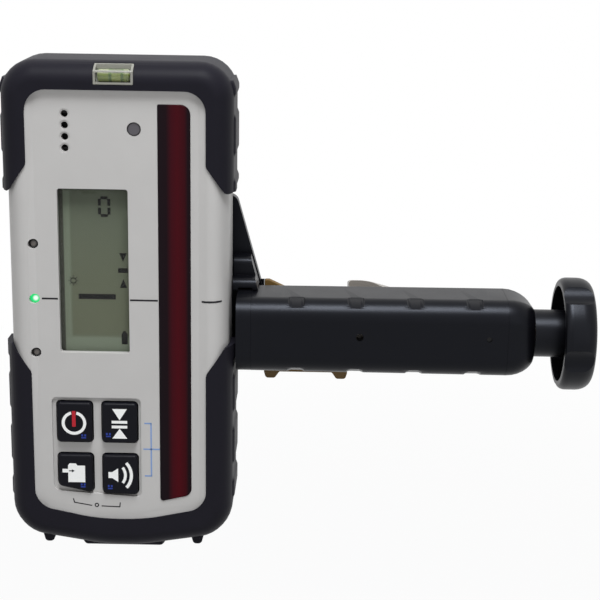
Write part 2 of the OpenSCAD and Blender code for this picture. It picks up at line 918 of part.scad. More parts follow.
module buzzer() {
    color("#1a1a1c")
        on_receiver()
            at(-sound_x, sound_z)
                difference() {
                    rod_y(buzzer_d, wall + fit_gap, board_d - fit_gap);
                    rod_y(buzzer_d - 2 * buzzer_wall, -far, board_d - buzzer_floor);
                }
}

module vial_frame() {
    color("#d8dcd6", 0.7)
        on_receiver()
            difference() {
                intersection() {
                    vial_block(0);
                    rubber_body();
                }
                translate([0, vial_tube_y, vial_tube_z])
                    rod_x(vial_tube_d + 2 * fit_gap, vial_x - vial_w / 2 + vial_wall, far);
            }
}

module vial_tube() {
    color("#e6f0d8", 0.5)
        on_receiver()
            translate([0, vial_tube_y, vial_tube_z])
                difference() {
                    rod_x(vial_tube_d, vial_x - vial_w / 2 + vial_wall + fit_gap, vial_x + vial_w / 2);
                    rod_x(vial_tube_d - 2 * vial_wall, vial_x - vial_w / 2 + 2 * vial_wall + fit_gap, far);
                }
}

module vial_liquid() {
    color("#b8e04a")
        on_receiver()
            translate([0, vial_tube_y, vial_tube_z])
                difference() {
                    rod_x(vial_tube_d - 2 * vial_wall - 2 * fit_gap,
                        vial_x - vial_w / 2 + 2 * vial_wall + 2 * fit_gap, vial_x + vial_w / 2);
                    translate([vial_x, 0, vial_tube_d / 2 - vial_wall])
                        rod_x(bubble_d, -bubble_len / 2, bubble_len / 2);
                }
}

module main_board() {
    color("#1f5a37")
        on_receiver()
            difference() {
                block(board_left, board_right, board_d, board_d + board_t, -board_down, board_up);
                at_board_screws()
                    rod_y(board_screw_d + 2 * board_hole_spare, -far, far);
            }
}

module sensor_board() {
    color("#1f5a37")
        on_receiver()
            difference() {
                block(window_x - window_w / 2 - lip / 2, case_screw_x + sensor_board_edge, sensor_board_d,
                    sensor_board_d + board_t, -board_down, board_up - sensor_board_drop);
                at_sensor_screws()
                    rod_y(board_screw_d + 2 * board_hole_spare, -far, far);
                at_case_screws()
                    rod_y(case_boss_d + 2 * slide_gap, -far, far);
            }
}

module photodiodes() {
    pitch = (window_up + window_down) / diode_count;
    color("#26222c")
        on_receiver()
            for (i = [0:diode_count - 1])
                at(window_x, (i + 0.5) * pitch - window_down)
                    block(-window_w * diode_share / 2, window_w * diode_share / 2, sensor_board_d - diode_h,
                        sensor_board_d - fit_gap, -pitch * diode_share / 2, pitch * diode_share / 2);
}

// Pan-head screw that holds a board whose front is at depth d
module board_screw(d) {
    rod_y(board_screw_d, wall + board_screw_tip, d + board_t + fit_gap + skin);
    rod_y(board_head_d, d + board_t + fit_gap, d + board_t + board_head_h);
}

module board_screws() {
    color("#c9c9cc")
        on_receiver() {
            at_board_screws()
                board_screw(board_d);
            at_sensor_screws()
                board_screw(sensor_board_d);
        }
}

// Cell axes: one above the other in the bay, facing opposite ways
module at_cells() {
    for (side = [0, 1])
        translate([0, cell_depth, -(bay_low + bay_up) / 2 + (0.5 - side) * (cell_d + cell_gap)])
            mirror([side, 0, 0])
                children();
}

module battery_cells() {
    color("#c08a3a")
        on_receiver()
            at_cells() {
                rod_x(cell_d, -cell_len / 2, cell_len / 2 - button_h);
                rod_x(cell_d * button_share, cell_len / 2 - button_h - skin, cell_len / 2);
            }
}

module battery_contacts() {
    color("#d0d0cc")
        on_receiver()
            at_cells()
                for (end = [0, 1])
                    mirror([end, 0, 0]) {
                        rod_x(cell_d * spring_share, cell_len / 2 + fit_gap, bay_half - fit_gap - skin);
                        block(bay_half - fit_gap - contact_t, bay_half - fit_gap, -cell_d * spring_share,
                            cell_d * spring_share, -cell_d * spring_share, cell_d * spring_share);
                    }
}

module battery_door() {
    color("#8f8d8c")
        on_receiver()
            difference() {
                union() {
                    slab(box_outline(-door_half, door_half, -door_low, -door_up, door_r),
                        body_d - door_t, body_d);
                    for (side = [0, 1])
                        mirror([side, 0, 0]) {
                            block(knuckle_in, knuckle_out, body_d - door_t, body_d,
                                -hinge_z, door_root - door_low);
                            translate([0, hinge_d, -hinge_z])
                                rod_x(2 * knuckle_r, knuckle_in, knuckle_out);
                        }
                }
                translate([0, hinge_d, -hinge_z])
                    rod_x(pin_d + 2 * run_gap, -far, far);
                at(0, -door_up)
                    rod_y(notch_d, body_d - door_t / 2, far);
            }
}

module door_pin() {
    color("#b8b8bc")
        on_receiver()
            translate([0, hinge_d, -hinge_z])
                rod_x(pin_d, lug_wall - lug_out + fit_gap, lug_out - lug_wall - fit_gap);
}

// Edge of the gusset at height z
function gusset_edge(z) = plate_right - gusset_lean * (z - gusset_base) / (gusset_top - gusset_base);

// Side of both jaws in Y and Z, narrower towards the tips
function jaw_side() = [
    [jaw_y0, -jaw_h / 2], [-jaw_y0, -jaw_tip_h / 2], [-jaw_y0, jaw_tip_h / 2], [jaw_y0, jaw_h / 2],
];

// One step of the gusset, from the handle's top up to height z and forward to depth d
module gusset_step(z, d) {
    low = grip_h / 2 + slide_gap;
    slab([[-grip_start, low], [gusset_edge(low), low], [gusset_edge(z), z], [-grip_start, z]],
        d - panel_depth, plate_y + skin);
}

module bracket_frame() {
    screw_z = grade_rise + screw_rise;
    color("#222226")
        difference() {
            union() {
                slab(rounded([
                    [-casing_offset - plate_end, screw_z + plate_end, plate_end_r],
                    [gusset_edge(gusset_top), gusset_top, plate_top_r],
                    [plate_right, gusset_base, 0], [plate_right, -jaw_h / 2, plate_foot_r],
                    [-casing_offset - plate_end, screw_z - plate_end, plate_end_r],
                ]), plate_y, plate_y + plate_t);
                bar(jaw_side(), -jaw_t, 0);
                translate([0, 0, -plate_t / 2])
                    linear_extrude(plate_t)
                        polygon([
                            [-jaw_t + rib_root, -jaw_y0 - rib_drop],
                            [-jaw_t + rib_root, plate_y + rib_root],
                            [-jaw_t - rib_reach, plate_y + rib_root],
                        ]);
                bar(grip_section(grip_h), -grip_start, grip_x0 - fit_gap);
                block(-grip_start, grip_x0 - fit_gap, grip_back - grip_back_r - rib_root, plate_y + rib_root,
                    grip_back_r - grip_h / 2, step_low);
                block(-grip_start, grip_x0 - fit_gap, step_low_d - panel_depth, plate_y + rib_root,
                    0, step_low);
                gusset_step(step_low, step_low_d);
                gusset_step(step_high, step_high_d);
            }
            on_axis() {
                rod_x(nose_bush_d + 2 * fit_gap, nose_floor - grip_start, far);
                for (z = [-grip_screw_z, grip_screw_z])
                    translate([0, 0, z]) {
                        rod_x(grip_screw_d + 2 * hole_spare, -far, far);
                        rod_x(grip_head_d + 2 * hole_spare, -far, grip_head_h - grip_start);
                    }
            }
            at(-casing_offset, screw_z)
                rod_y(screw_d + 2 * slide_gap, -far, far);
        }
}

module bracket_screw() {
    head_y = plate_y + plate_t + slide_gap;
    color("#222226")
        at(-casing_offset, grade_rise + screw_rise)
            difference() {
                union() {
                    rod_y(screw_d, plate_front - insert_len + screw_tip - panel_depth, head_y + screw_tip);
                    rod_y(screw_head_d, head_y, head_y + screw_head_h);
                }
                for (i = [0:screw_grips - 1])
                    rotate([0, i * 360 / screw_grips, 0])
                        translate([screw_head_d / 2 + screw_grip_out, 0, 0])
                            rod_y(screw_grip_d, -far, far);
            }
}

// Section of the handle in Y and Z, for a height h
function grip_section(h) = rounded([
    [grip_front, -h / 2, grip_front_r], [grip_back, -h / 2, grip_back_r],
    [grip_back, h / 2, grip_back_r], [grip_front, h / 2, grip_front_r],
]);

// Section of the end cap: from the handle's section at s = 1 to one round the hub at s = 0
function cap_section(s) =
    let (small = hub_d / 2 + cap_rim, h = small + (grip_end_h / 2 - small) * s)
    let (front = axis_y - small + (grip_front - axis_y + small) * s)
    let (back = axis_y + small + (grip_back - axis_y - small) * s)
    let (end_r = small - cap_ease)
    let (front_r = end_r + (grip_front_r - end_r) * s)
    let (back_r = end_r + (grip_back_r - end_r) * s)
    rounded([[front, -h, front_r], [back, -h, back_r], [back, h, back_r], [front, h, front_r]]);

module grip_handle() {
    color("#26262c")
        difference() {
            hull() {
                bar(grip_section(grip_h), grip_x0, grip_x0 + skin);
                bar(grip_section(grip_end_h), grip_len - skin, grip_len);
            }
            block(-far, far, bore_front, bore_back, -bore_half, bore_half);
            block(slot_x0, slot_x1, bore_back - skin, far, -slot_w / 2, slot_w / 2);
            on_axis()
                for (z = [-grip_screw_z, grip_screw_z])
                    translate([0, 0, z])
                        rod_x(grip_screw_d + 2 * fit_gap, -far, grip_screw_end + grip_screw_spare);
            at(pin_hole_x, pin_hole_z)
                rod_y(pin_hole_d, -far, axis_y);
            at(cap_screw_x, pin_hole_z)
                rod_y(cap_screw_d + 2 * fit_gap, -far, axis_y);
        }
}

module grip_screws() {
    color("#c9c9cc")
        on_axis()
            for (z = [-grip_screw_z, grip_screw_z])
                translate([0, 0, z]) {
                    rod_x(grip_head_d, fit_gap - grip_start, grip_head_h - fit_gap - grip_start);
                    rod_x(grip_screw_d, grip_head_h / 2 - grip_start, grip_screw_end);
                }
}

module grip_cap() {
    color("#26262c")
        difference() {
            union() {
                hull()
                    for (t = [0:18:90])
                        bar(cap_section(cos(t)), grip_len + fit_gap + (cap_len - skin - fit_gap) * sin(t),
                            grip_len + fit_gap + (cap_len - skin - fit_gap) * sin(t) + skin);
                block(spigot_x, grip_len + cap_ease, bore_front + fit_gap, bore_back - fit_gap,
                    fit_gap - bore_half, bore_half - fit_gap);
            }
            on_axis()
                rod_x(bush_d + 2 * fit_gap, -far, far);
            at(cap_screw_x, pin_hole_z)
                rod_y(cap_screw_d + 2 * fit_gap, -far, bore_front + cap_screw_tip + fit_gap);
        }
}

module cap_screw() {
    color("#2c2c30")
        at(cap_screw_x, pin_hole_z)
            rod_y(cap_screw_d, grip_front + cap_screw_sunk, bore_front + cap_screw_tip);
}

module nose_bush() {
    color("#c8b890")
        on_axis()
            difference() {
                rod_x(nose_bush_d, nose_floor - grip_start + fit_gap, nose_x - slide_gap);
                rod_x(nose_d + 2 * run_gap, -far, far);
            }
}

module spindle_bush() {
    color("#a8834a")
        on_axis()
            difference() {
                rod_x(bush_d, spigot_x, cap_end);
                rod_x(spindle_d + 2 * run_gap, -far, far);
            }
}

// Ring round the spindle from x to x + ring_t
module spindle_ring(d, x) {
    on_axis()
        difference() {
            rod_x(d, x, x + ring_t);
            rod_x(spindle_d + 2 * fit_gap, -far, far);
        }
}

module thrust_washer() {
    color("#d0d0d4")
        spindle_ring(bush_d + 2 * washer_rim, washer_x);
}

module retaining_ring() {
    color("#8a8a90")
        spindle_ring(bush_d - 2 * ring_rim, ring_x);
}

module clamp_spindle() {
    color("#b9bac0")
        difference() {
            on_axis() {
                rod_x(nose_d, nose_floor - grip_start + slide_gap, nose_x + skin);
                rod_x(spindle_d, nose_x, spindle_end);
            }
            knob_pin_hole();
        }
}

module knob_pin_hole() {
    at(cap_end + slide_gap + hub_len / 2, 0)
        rod_y(knob_pin_d + 2 * fit_gap, -far, far);
}

module knob() {
    color("#1c1c1f")
        difference() {
            on_axis()
                difference() {
                    union() {
                        rod_x(hub_d, cap_end + slide_gap, knob_x + knob_dish);
                        translate([knob_x, 0, 0])
                            rotate([0, 90, 0])
                                rotate_extrude()
                                    polygon(rounded([[0, 0, 0], [knob_d / 2, 0, knob_edge],
                                        [knob_d / 2, knob_t, knob_edge], [0, knob_t, 0]]));
                    }
                    difference() {
                        rod_x(knob_d - 2 * knob_rim, -far, knob_x + knob_dish);
                        rod_x(hub_d, -far, far);
                    }
                    for (i = [0:knob_lobes - 1])
                        rotate([knob_turned + (i + 0.5) * 360 / knob_lobes, 0, 0])
                            translate([0, 0, knob_d / 2 + scallop_out])
                                rod_x(scallop_d, -far, far);
                    rod_x(spindle_d + 2 * fit_gap, -far, spindle_end + fit_gap);
                    rod_x(knob_cap_d + 2 * fit_gap, knob_x + knob_t - knob_cap_t, far);
                }
            knob_pin_hole();
        }
}

module knob_pin() {
    color("#c0c0c4")
        at(cap_end + slide_gap + hub_len / 2, 0)
            rod_y(knob_pin_d, axis_y - hub_d / 2 + knob_pin_in, axis_y + hub_d / 2 - knob_pin_in);
}

module knob_cap() {
    color("#242428")
        on_axis()
            rod_x(knob_cap_d, knob_x + knob_t - knob_cap_t + fit_gap, knob_x + knob_t);
}

module moving_jaw() {
    color("#4b4744")
        difference() {
            union() {
                block(carriage_x, carriage_x + carriage_len, bore_front + slide_gap, bore_back - slide_gap,
                    slide_gap - bore_half, bore_half - slide_gap);
                block(carriage_x, carriage_x + carriage_len, bore_back - slide_gap - skin, jaw_y0 + skin,
                    slide_gap - slot_w / 2, slot_w / 2 - slide_gap);
                intersection() {
                    slab([
                        [jaw_gap, -jaw_h / 2], [jaw_gap + jaw_flat, -jaw_h / 2],
                        [jaw_gap + jaw_len, -jaw_tail / 2], [jaw_gap + jaw_len, jaw_tail / 2],
                        [jaw_gap + jaw_flat, jaw_h / 2], [jaw_gap, jaw_h / 2],
                    ], jaw_y0, -jaw_y0);
                    bar(jaw_side(), jaw_gap - skin, jaw_gap + jaw_len + skin);
                }
            }
            on_axis() {
                rod_x(nut_d + 2 * fit_gap, carriage_x + nut_in - fit_gap, far);
                rod_x(spindle_d + 2 * nut_spare, -far, far);
            }
        }
}

module jaw_nut() {
    color("#b08d45")
        on_axis()
            difference() {
                rod_x(nut_d, carriage_x + nut_in, carriage_x + carriage_len);
                rod_x(spindle_d + 2 * run_gap, -far, far);
            }
}

module upper_rod_pad() {
    color("#6b5a2e")
        slab([
            [pad_x0, pad_low], [jaw_gap, pad_low], [jaw_gap, pad_top], [pad_x0 + upper_slope, pad_top],
            [pad_x0 + upper_nub_w, pad_top + upper_nub], [pad_x0, pad_top + upper_nub],
        ], grip_back + fit_gap, pad_back);
}

module lower_rod_pad() {
    color("#5e4416")
        slab([
            [pad_x0, -pad_low], [pad_x0, -pad_bottom - nub_h], [pad_x0 + nub_w, -pad_bottom - nub_h],
            [pad_x0 + nub_w + nub_h / 2, -pad_bottom], [jaw_gap - nub_w - nub_h / 2, -pad_bottom],
            [jaw_gap - nub_w, -pad_bottom - nub_h], [jaw_gap, -pad_bottom - nub_h], [jaw_gap, -pad_low],
        ], grip_back + fit_gap, pad_back);
}

front_shell();
rear_shell();
housing_seal();
top_bumper();
bottom_bumper();
case_screws();
mount_insert();
detector_window();
lcd_cover();
lcd_panel();
lcd_holder();
keypad_mat();
power_key();
precision_key();
mode_key();
volume_key();
lamp_high();
lamp_grade();
lamp_low();
light_sensor();
buzzer();
vial_frame();
vial_tube();
vial_liquid();
main_board();
sensor_board();
photodiodes();
board_screws();
battery_cells();
battery_contacts();
battery_door();
door_pin();
bracket_frame();
bracket_screw();
grip_handle();
grip_screws();
grip_cap();
cap_screw();
nose_bush();
spindle_bush();
thrust_washer();
retaining_ring();
clamp_spindle();
knob();
knob_pin();
knob_cap();
moving_jaw();
jaw_nut();
upper_rod_pad();
lower_rod_pad();
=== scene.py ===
import math

import bmesh
import bpy
from mathutils import Matrix, Vector


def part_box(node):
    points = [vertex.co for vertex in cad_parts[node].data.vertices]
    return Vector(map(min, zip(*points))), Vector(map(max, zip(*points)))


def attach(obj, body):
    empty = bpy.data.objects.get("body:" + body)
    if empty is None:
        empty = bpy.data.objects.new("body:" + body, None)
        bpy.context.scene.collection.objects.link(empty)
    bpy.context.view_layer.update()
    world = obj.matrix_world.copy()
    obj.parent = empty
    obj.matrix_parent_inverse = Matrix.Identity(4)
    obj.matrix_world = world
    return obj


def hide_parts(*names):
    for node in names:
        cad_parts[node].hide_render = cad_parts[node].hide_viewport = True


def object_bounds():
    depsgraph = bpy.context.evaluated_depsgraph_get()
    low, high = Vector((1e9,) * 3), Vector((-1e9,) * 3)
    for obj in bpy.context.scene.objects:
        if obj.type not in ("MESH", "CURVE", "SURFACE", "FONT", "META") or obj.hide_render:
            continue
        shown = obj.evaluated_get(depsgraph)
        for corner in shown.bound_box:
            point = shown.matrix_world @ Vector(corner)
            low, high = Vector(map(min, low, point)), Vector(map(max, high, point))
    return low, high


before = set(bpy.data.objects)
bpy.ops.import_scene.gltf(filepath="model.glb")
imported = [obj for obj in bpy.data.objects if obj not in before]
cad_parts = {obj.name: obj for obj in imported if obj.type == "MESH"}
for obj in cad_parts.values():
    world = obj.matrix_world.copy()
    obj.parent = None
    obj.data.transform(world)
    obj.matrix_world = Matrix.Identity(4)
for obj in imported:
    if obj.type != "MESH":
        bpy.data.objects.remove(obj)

# Camera: a 90 mm lens half a metre in front of the display and a little above it.
# It looks slightly down on the receiver, with the small yaw and roll of a hand-held picture.
MM = 0.001
cad_box = [list(corner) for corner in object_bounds()]
camera_place = Vector((16.186, -492.413, 128.078)) * MM
camera_pitch = math.radians(14.28979)
camera_yaw = math.radians(-0.50765)
camera_roll = math.radians(0.87954)
ahead = Vector((
    math.sin(camera_yaw) * math.cos(camera_pitch),
    math.cos(camera_yaw) * math.cos(camera_pitch),
    -math.sin(camera_pitch),
))
level = Vector((math.cos(camera_yaw), -math.sin(camera_yaw), 0))
upright = level.cross(ahead)
across = math.cos(camera_roll) * level + math.sin(camera_roll) * upright
up = math.cos(camera_roll) * upright - math.sin(camera_roll) * level
bpy.ops.object.camera_add()
camera = bpy.context.object
camera.matrix_world = Matrix.Translation(camera_place) @ Matrix((across, up, -ahead)).transposed().to_4x4()
camera.data.lens = 90
camera.data.sensor_width = 36
bpy.context.scene.camera = camera
bpy.context.scene.view_settings.view_transform = "Standard"


# Floor and light: a plain white sheet below the part and large soft boxes round it.
# The sheet and the sky show as white in the picture and in reflections, and the sheet keeps a shadow.
class Wire:
    """A shader value that takes part in Python arithmetic: each operation adds a Math node."""

    def __init__(self, paint, socket):
        self.paint = paint
        self.socket = socket

    def __add__(self, other):
        return self.paint.math("ADD", self, other)

    def __sub__(self, other):
        return self.paint.math("SUBTRACT", self, other)

    def __rsub__(self, other):
        return self.paint.math("SUBTRACT", other, self)

    def __mul__(self, other):
        return self.paint.math("MULTIPLY", self, other)

    __radd__ = __add__


class Paint:
    """A node tree, with one method that adds any node to it."""

    def __init__(self, tree):
        self.tree = tree
        tree.nodes.clear()

    def node(self, kind, settings=(), output=0, **inputs):
        added = self.tree.nodes.new("ShaderNode" + kind)
        for key, value in dict(settings).items():
            setattr(added, key, value)
        for key, value in inputs.items():
            self.plug(added.inputs[int(key[1:]) if key[1:].isdigit() else key.replace("_", " ")], value)
        return Wire(self, added.outputs[output]) if added.outputs else added

    def plug(self, socket, value):
        if isinstance(value, Wire):
            self.tree.links.new(value.socket, socket)
        else:
            socket.default_value = value

    def math(self, operation, first, second):
        return self.node("Math", {"operation": operation}, i0=first, i1=second)

    def shown(self):
        """1 on a ray from the camera, a reflection or a clear piece, and 0 on one that only lights."""
        kinds = ("Camera", "Glossy", "Transmission")
        rays = [self.node("LightPath", output=f"Is {kind} Ray") for kind in kinds]
        return self.math("MINIMUM", rays[0] + rays[1] + rays[2], 1)


def white(level):
    return (level, level, level, 1)


floor_drop = 0.15
floor_size = 8
floor_white, floor_tone = 0.88, 0.9
floor_near, floor_far = 0.25, 0.8
bpy.ops.object.select_all(action="DESELECT")
bpy.ops.mesh.primitive_plane_add(size=floor_size, location=(0, 0, cad_box[0][2] - floor_drop))
floor = bpy.context.object
floor.name = "floor"
sheet_material = bpy.data.materials.new("white_sheet")
sheet_material.use_nodes = True
floor.data.materials.append(sheet_material)
sheet = Paint(sheet_material.node_tree)
sheet_glow = sheet.node("Emission", Color=white(1), Strength=1)
sheet_face = sheet.node("BsdfDiffuse", Color=white(floor_tone))
sheet_place = sheet.node("TexCoord", output="Object")
from_middle = sheet.node("VectorMath", {"operation": "LENGTH"}, output="Value", i0=sheet_place)
far_white = sheet.node("MapRange", i0=from_middle, i1=floor_near, i2=floor_far, i3=floor_white, i4=1)
sheet_mix = sheet.node("MixShader", i0=sheet.shown() * far_white, i1=sheet_face, i2=sheet_glow)
sheet.node("OutputMaterial", Surface=sheet_mix)

sky_light = 0.18
world = bpy.data.worlds.new("studio")
world.use_nodes = True
bpy.context.scene.world = world
sky = Paint(world.node_tree)
sky_strength = sky_light + sky.shown() * (1 - sky_light)
sky.node("OutputWorld", Surface=sky.node("Background", Color=white(1), Strength=sky_strength))


def soft_box(name, place, aim, size, watts, colour):
    """A square lamp at a place in metres, turned to face a point."""
    bpy.ops.object.light_add(type="AREA", location=place)
    lamp = bpy.context.object
    lamp.name = name
    lamp.rotation_euler = (Vector(aim) - Vector(place)).to_track_quat("-Z", "Y").to_euler()
    lamp.data.size = size
    lamp.data.energy = watts
    lamp.data.color = colour


middle = (0, -0.03, 0.01)
soft_box("key_light", (-0.4, -0.6, 0.6), middle, 0.5, 0.6, (1, 0.99, 0.97))
soft_box("fill_light", (0.5, -0.9, 0.3), middle, 0.7, 0.6, (0.99, 0.99, 1))
soft_box("top_light", (0.05, -0.34, 0.8), middle, 0.36, 10, (0.96, 0.98, 1))


# Front shell: the light grey ABS half of the casing that carries the panel, display, window and keys.
# Injection-moulded, 2.2 mm thick, with a panel dished inside a raised rim and a fine spark-eroded grain.
shell_low, shell_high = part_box("front_shell")
lamp_low, lamp_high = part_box("lamp_grade")
RECEIVER = Vector(((shell_low.x + shell_high.x) / 2, shell_low.y, (lamp_low.z + lamp_high.z) / 2))
CLAMP = Vector((0, 0, 0))
HAIR = 0.001 * MM
TURNED = {
    "X": lambda u, v, w: Vector((w, u, v)),
    "Y": lambda u, v, w: Vector((u, w, v)),
    "Z": lambda u, v, w: Vector((u, v, w)),
}


def pick(kind, test):
    """Selects the vertices, edges or faces of the piece in edit mode that pass a test."""
    bpy.ops.mesh.select_mode(type=kind)
    bpy.ops.mesh.select_all(action="DESELECT")
    mesh = bmesh.from_edit_mesh(bpy.context.object.data)
    for part in {"VERT": mesh.verts, "EDGE": mesh.edges, "FACE": mesh.faces}[kind]:
        if test(part):
            part.select_set(True)
    bmesh.update_edit_mesh(bpy.context.object.data)


def tangent_length(before, corner, after, radius):
    """How far from a corner its rounding of that radius starts."""
    angle = (before - corner).angle(after - corner)
    return radius / math.tan(angle / 2)


def draw(name, corners, start, stop, along="Y", origin=RECEIVER, near=(0, 0), far=(0, 0), steps=5, turns=8):
    """Traces corners (across, up, radius) in mm, fills the outline and draws it out along an axis.
    near and far are the inset and the depth of the rounding at its first and last face, and turns counts
    the facets of a corner."""
    spots = [origin + TURNED[along](across, rise, start) * MM for across, rise, radius in corners]
    bpy.ops.object.select_all(action="DESELECT")
    bpy.ops.mesh.primitive_plane_add(size=MM, location=spots[0])
    piece = bpy.context.object
    piece.name = name
    bpy.ops.object.transform_apply()
    bpy.ops.object.mode_set(mode="EDIT")
    bpy.ops.mesh.select_mode(type="VERT")
    bpy.ops.mesh.select_all(action="SELECT")
    bpy.ops.mesh.merge(type="CENTER")
    for here, there in zip(spots, spots[1:]):
        bpy.ops.mesh.extrude_vertices_move(TRANSFORM_OT_translate={"value": there - here})
    bpy.ops.mesh.select_all(action="SELECT")
    bpy.ops.mesh.edge_face_add()
    for i, spot in enumerate(spots):
        radius = corners[i][2] * MM
        if radius:
            reach = tangent_length(spots[i - 1], spot, spots[(i + 1) % len(spots)], radius)
            pick("VERT", lambda v: (v.co - spot).length < HAIR)
            bpy.ops.mesh.bevel(
                offset=reach, affect="VERTICES", segments=turns, profile=0.5, clamp_overlap=False)
    bpy.ops.mesh.select_mode(type="FACE")
    bpy.ops.mesh.select_all(action="SELECT")
    run = TURNED[along](0, 0, stop - start) * MM
    bpy.ops.mesh.extrude_region_move(TRANSFORM_OT_translate={"value": run})
    bpy.ops.mesh.select_all(action="SELECT")
    bpy.ops.mesh.normals_make_consistent(inside=False)
    axis = "XYZ".index(along)
    for level, (inset, depth) in ((start, near), (stop, far)):
        if inset:
            flat = origin[axis] + level * MM
            pick("EDGE", lambda e: all(abs(v.co[axis] - flat) < HAIR for v in e.verts))
            bpy.ops.mesh.bevel(
                offset=inset * MM, segments=steps, profile=0.5, affect="EDGES", clamp_overlap=False)
            pick("VERT", lambda v: abs(v.co[axis] - flat) < inset * MM + HAIR)
            stretch = TURNED[along](1, 1, depth / inset)
            bpy.ops.transform.resize(value=stretch, center_override=TURNED[along](0, 0, flat))
    bpy.ops.object.mode_set(mode="OBJECT")
    return piece


def box(x0, x1, z0, z1, radius=0):
    return [(x0, z0, radius), (x1, z0, radius), (x1, z1, radius), (x0, z1, radius)]


def rod(diameter, start, stop, across, rise, along="Y", origin=RECEIVER, sides=40):
    """A round bar along an axis, used to drill holes and to build up turned pieces."""
    middle = origin + TURNED[along](across, rise, (start + stop) / 2) * MM
    turn = {"X": (0, math.pi / 2, 0), "Y": (math.pi / 2, 0, 0)}[along]
    bpy.ops.object.select_all(action="DESELECT")
    bpy.ops.mesh.primitive_cylinder_add(
        vertices=sides, radius=diameter / 2 * MM, depth=(stop - start) * MM, location=middle, rotation=turn)
    bpy.ops.object.transform_apply()
    return bpy.context.object


def carve(piece, *tools, operation="DIFFERENCE"):
    """Cuts the tools out of a piece, or joins them to it, and removes them."""
    bpy.ops.object.select_all(action="DESELECT")
    bpy.context.view_layer.objects.active = piece
    for tool in tools:
        modifier = piece.modifiers.new("carve", "BOOLEAN")
        modifier.operation = operation
        modifier.object = tool
        modifier.solver = "EXACT"
        bpy.ops.object.modifier_apply(modifier="carve")
        bpy.data.objects.remove(tool)
    return piece


def ease(piece, width, steps=2, angle=35):
    """Rounds off a piece's sharp edges and shades it smooth."""
    bpy.ops.object.select_all(action="DESELECT")
    piece.select_set(True)
    bpy.context.view_layer.objects.active = piece
    bevel = piece.modifiers.new("ease", "BEVEL")
    bevel.width = width * MM
    bevel.segments = steps
    bevel.limit_method = "ANGLE"
    bevel.angle_limit = math.radians(angle)
    bevel.harden_normals = False
    bpy.ops.object.modifier_apply(modifier="ease")
    bpy.ops.object.shade_smooth_by_angle(angle=math.radians(angle))
    weighted = piece.modifiers.new("weighted", "WEIGHTED_NORMAL")
    weighted.keep_sharp = True
    bpy.ops.object.modifier_apply(modifier="weighted")
    return piece


def tint(code):
    """Linear colour of a hex code."""
    shares = [int(code[i:i + 2], 16) / 255 for i in (1, 3, 5)]
    return (*[c / 12.92 if c < 0.04045 else ((c + 0.055) / 1.055) ** 2.4 for c in shares], 1)


class Finish(Paint):
    """A material with one Principled shader, laid out on Object coordinates."""

    def __init__(self, name, **constants):
        self.material = bpy.data.materials.new(name)
        self.material.use_nodes = True
        super().__init__(self.material.node_tree)
        self.shader = self.tree.nodes.new("ShaderNodeBsdfPrincipled")
        self.node("OutputMaterial", Surface=Wire(self, self.shader.outputs[0]))
        self.place = self.node("TexCoord", output="Object")
        self.set(**constants)

    def set(self, **inputs):
        for key, value in inputs.items():
            self.plug(self.shader.inputs[key.replace("_", " ")], value)

    def noise(self, size, detail=2):
        """Soft random values from 0 to 1, with patches about size mm across."""
        return self.node("TexNoise", Vector=self.place, Scale=1 / (size * MM), Detail=detail)

    def mix(self, share, first, second):
        return self.node("Mix", {"data_type": "RGBA"}, output=2, i0=share, i6=first, i7=second)

    def relief(self, height, depth):
        """Raises and sinks the surface by up to depth mm."""
        self.set(Normal=self.node("Bump", Height=height, Distance=depth * MM, Strength=1))


def moulded(name, colour, shade, roughness, grain=0.25, depth=0.012, **constants):
    """Moulded plastic or rubber: faint mottling, uneven gloss and the fine grain of the mould."""
    finish = Finish(name, **constants)
    patches = finish.noise(9, 4)
    fine = finish.noise(grain, 3)
    finish.set(Base_Color=finish.mix(patches * 0.6 + fine * 0.4, tint(colour), tint(shade)))
    finish.set(Roughness=roughness - 0.06 + patches * 0.08 + fine * 0.06)
    finish.relief(fine + finish.noise(grain * 3, 2) * 0.5, depth)
    return finish.material


def dress(piece, material, slot, *nodes, body="receiver"):
    """Gives a piece its finish and its body, and hides the CAD nodes that it stands for."""
    piece.data.materials.clear()
    piece.data.materials.append(material)
    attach(piece, body)
    if nodes:
        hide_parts(*nodes)


def casing(grow):
    """Outline of the shells, grown by some mm: straight sides, round corners and a bowed bottom."""
    half, top, low, rise = 34 + grow, 71.6 + grow, 82.6 + grow, 5.7
    return [(-half, rise - low, 11 + grow), (0, -low, 60), (half, rise - low, 11 + grow),
            (half, top, 10 + grow), (-half, top, 10 + grow)]


shell_wall = 2.2
rim_height = 1
split_depth = 13
shell_edge, shell_back_edge, cavity_edge = (5.6, 8), (3.6, 6), (5, 7)
rim_width, rim_slope, rim_rise = 1.2, 2.2, 2.2
panel_drop, panel_drop_low = 0.6, 0.2
front_shell = draw("front_shell_moulding", casing(0), -rim_height, split_depth, near=shell_edge, steps=8)
front_cavity = draw("cavity", casing(-shell_wall), shell_wall, split_depth + 1, near=cavity_edge, steps=4)
carve(front_shell, front_cavity)
bpy.ops.object.mode_set(mode="EDIT")
crest = RECEIVER.y - rim_height * MM
pick("FACE", lambda f: all(abs(v.co.y - crest) < HAIR for v in f.verts))
floor_top, floor_bottom = RECEIVER.z + 50 * MM, RECEIVER.z - 60 * MM
bpy.ops.mesh.inset(thickness=rim_width * MM, depth=0)
inner_edge = {v.index for f in bmesh.from_edit_mesh(front_shell.data).faces if f.select for v in f.verts}
pick("VERT", lambda v: v.index in inner_edge and v.co.z < floor_bottom)
bpy.ops.transform.translate(value=(0, 0, rim_rise * MM))
pick("FACE", lambda f: all(v.index in inner_edge for v in f.verts))
bpy.ops.mesh.inset(thickness=rim_slope * MM, depth=-rim_height * MM)
pick("VERT", lambda v: abs(v.co.y - RECEIVER.y) < HAIR and v.co.z > floor_top)
bpy.ops.transform.translate(value=(0, 0, -panel_drop * MM))
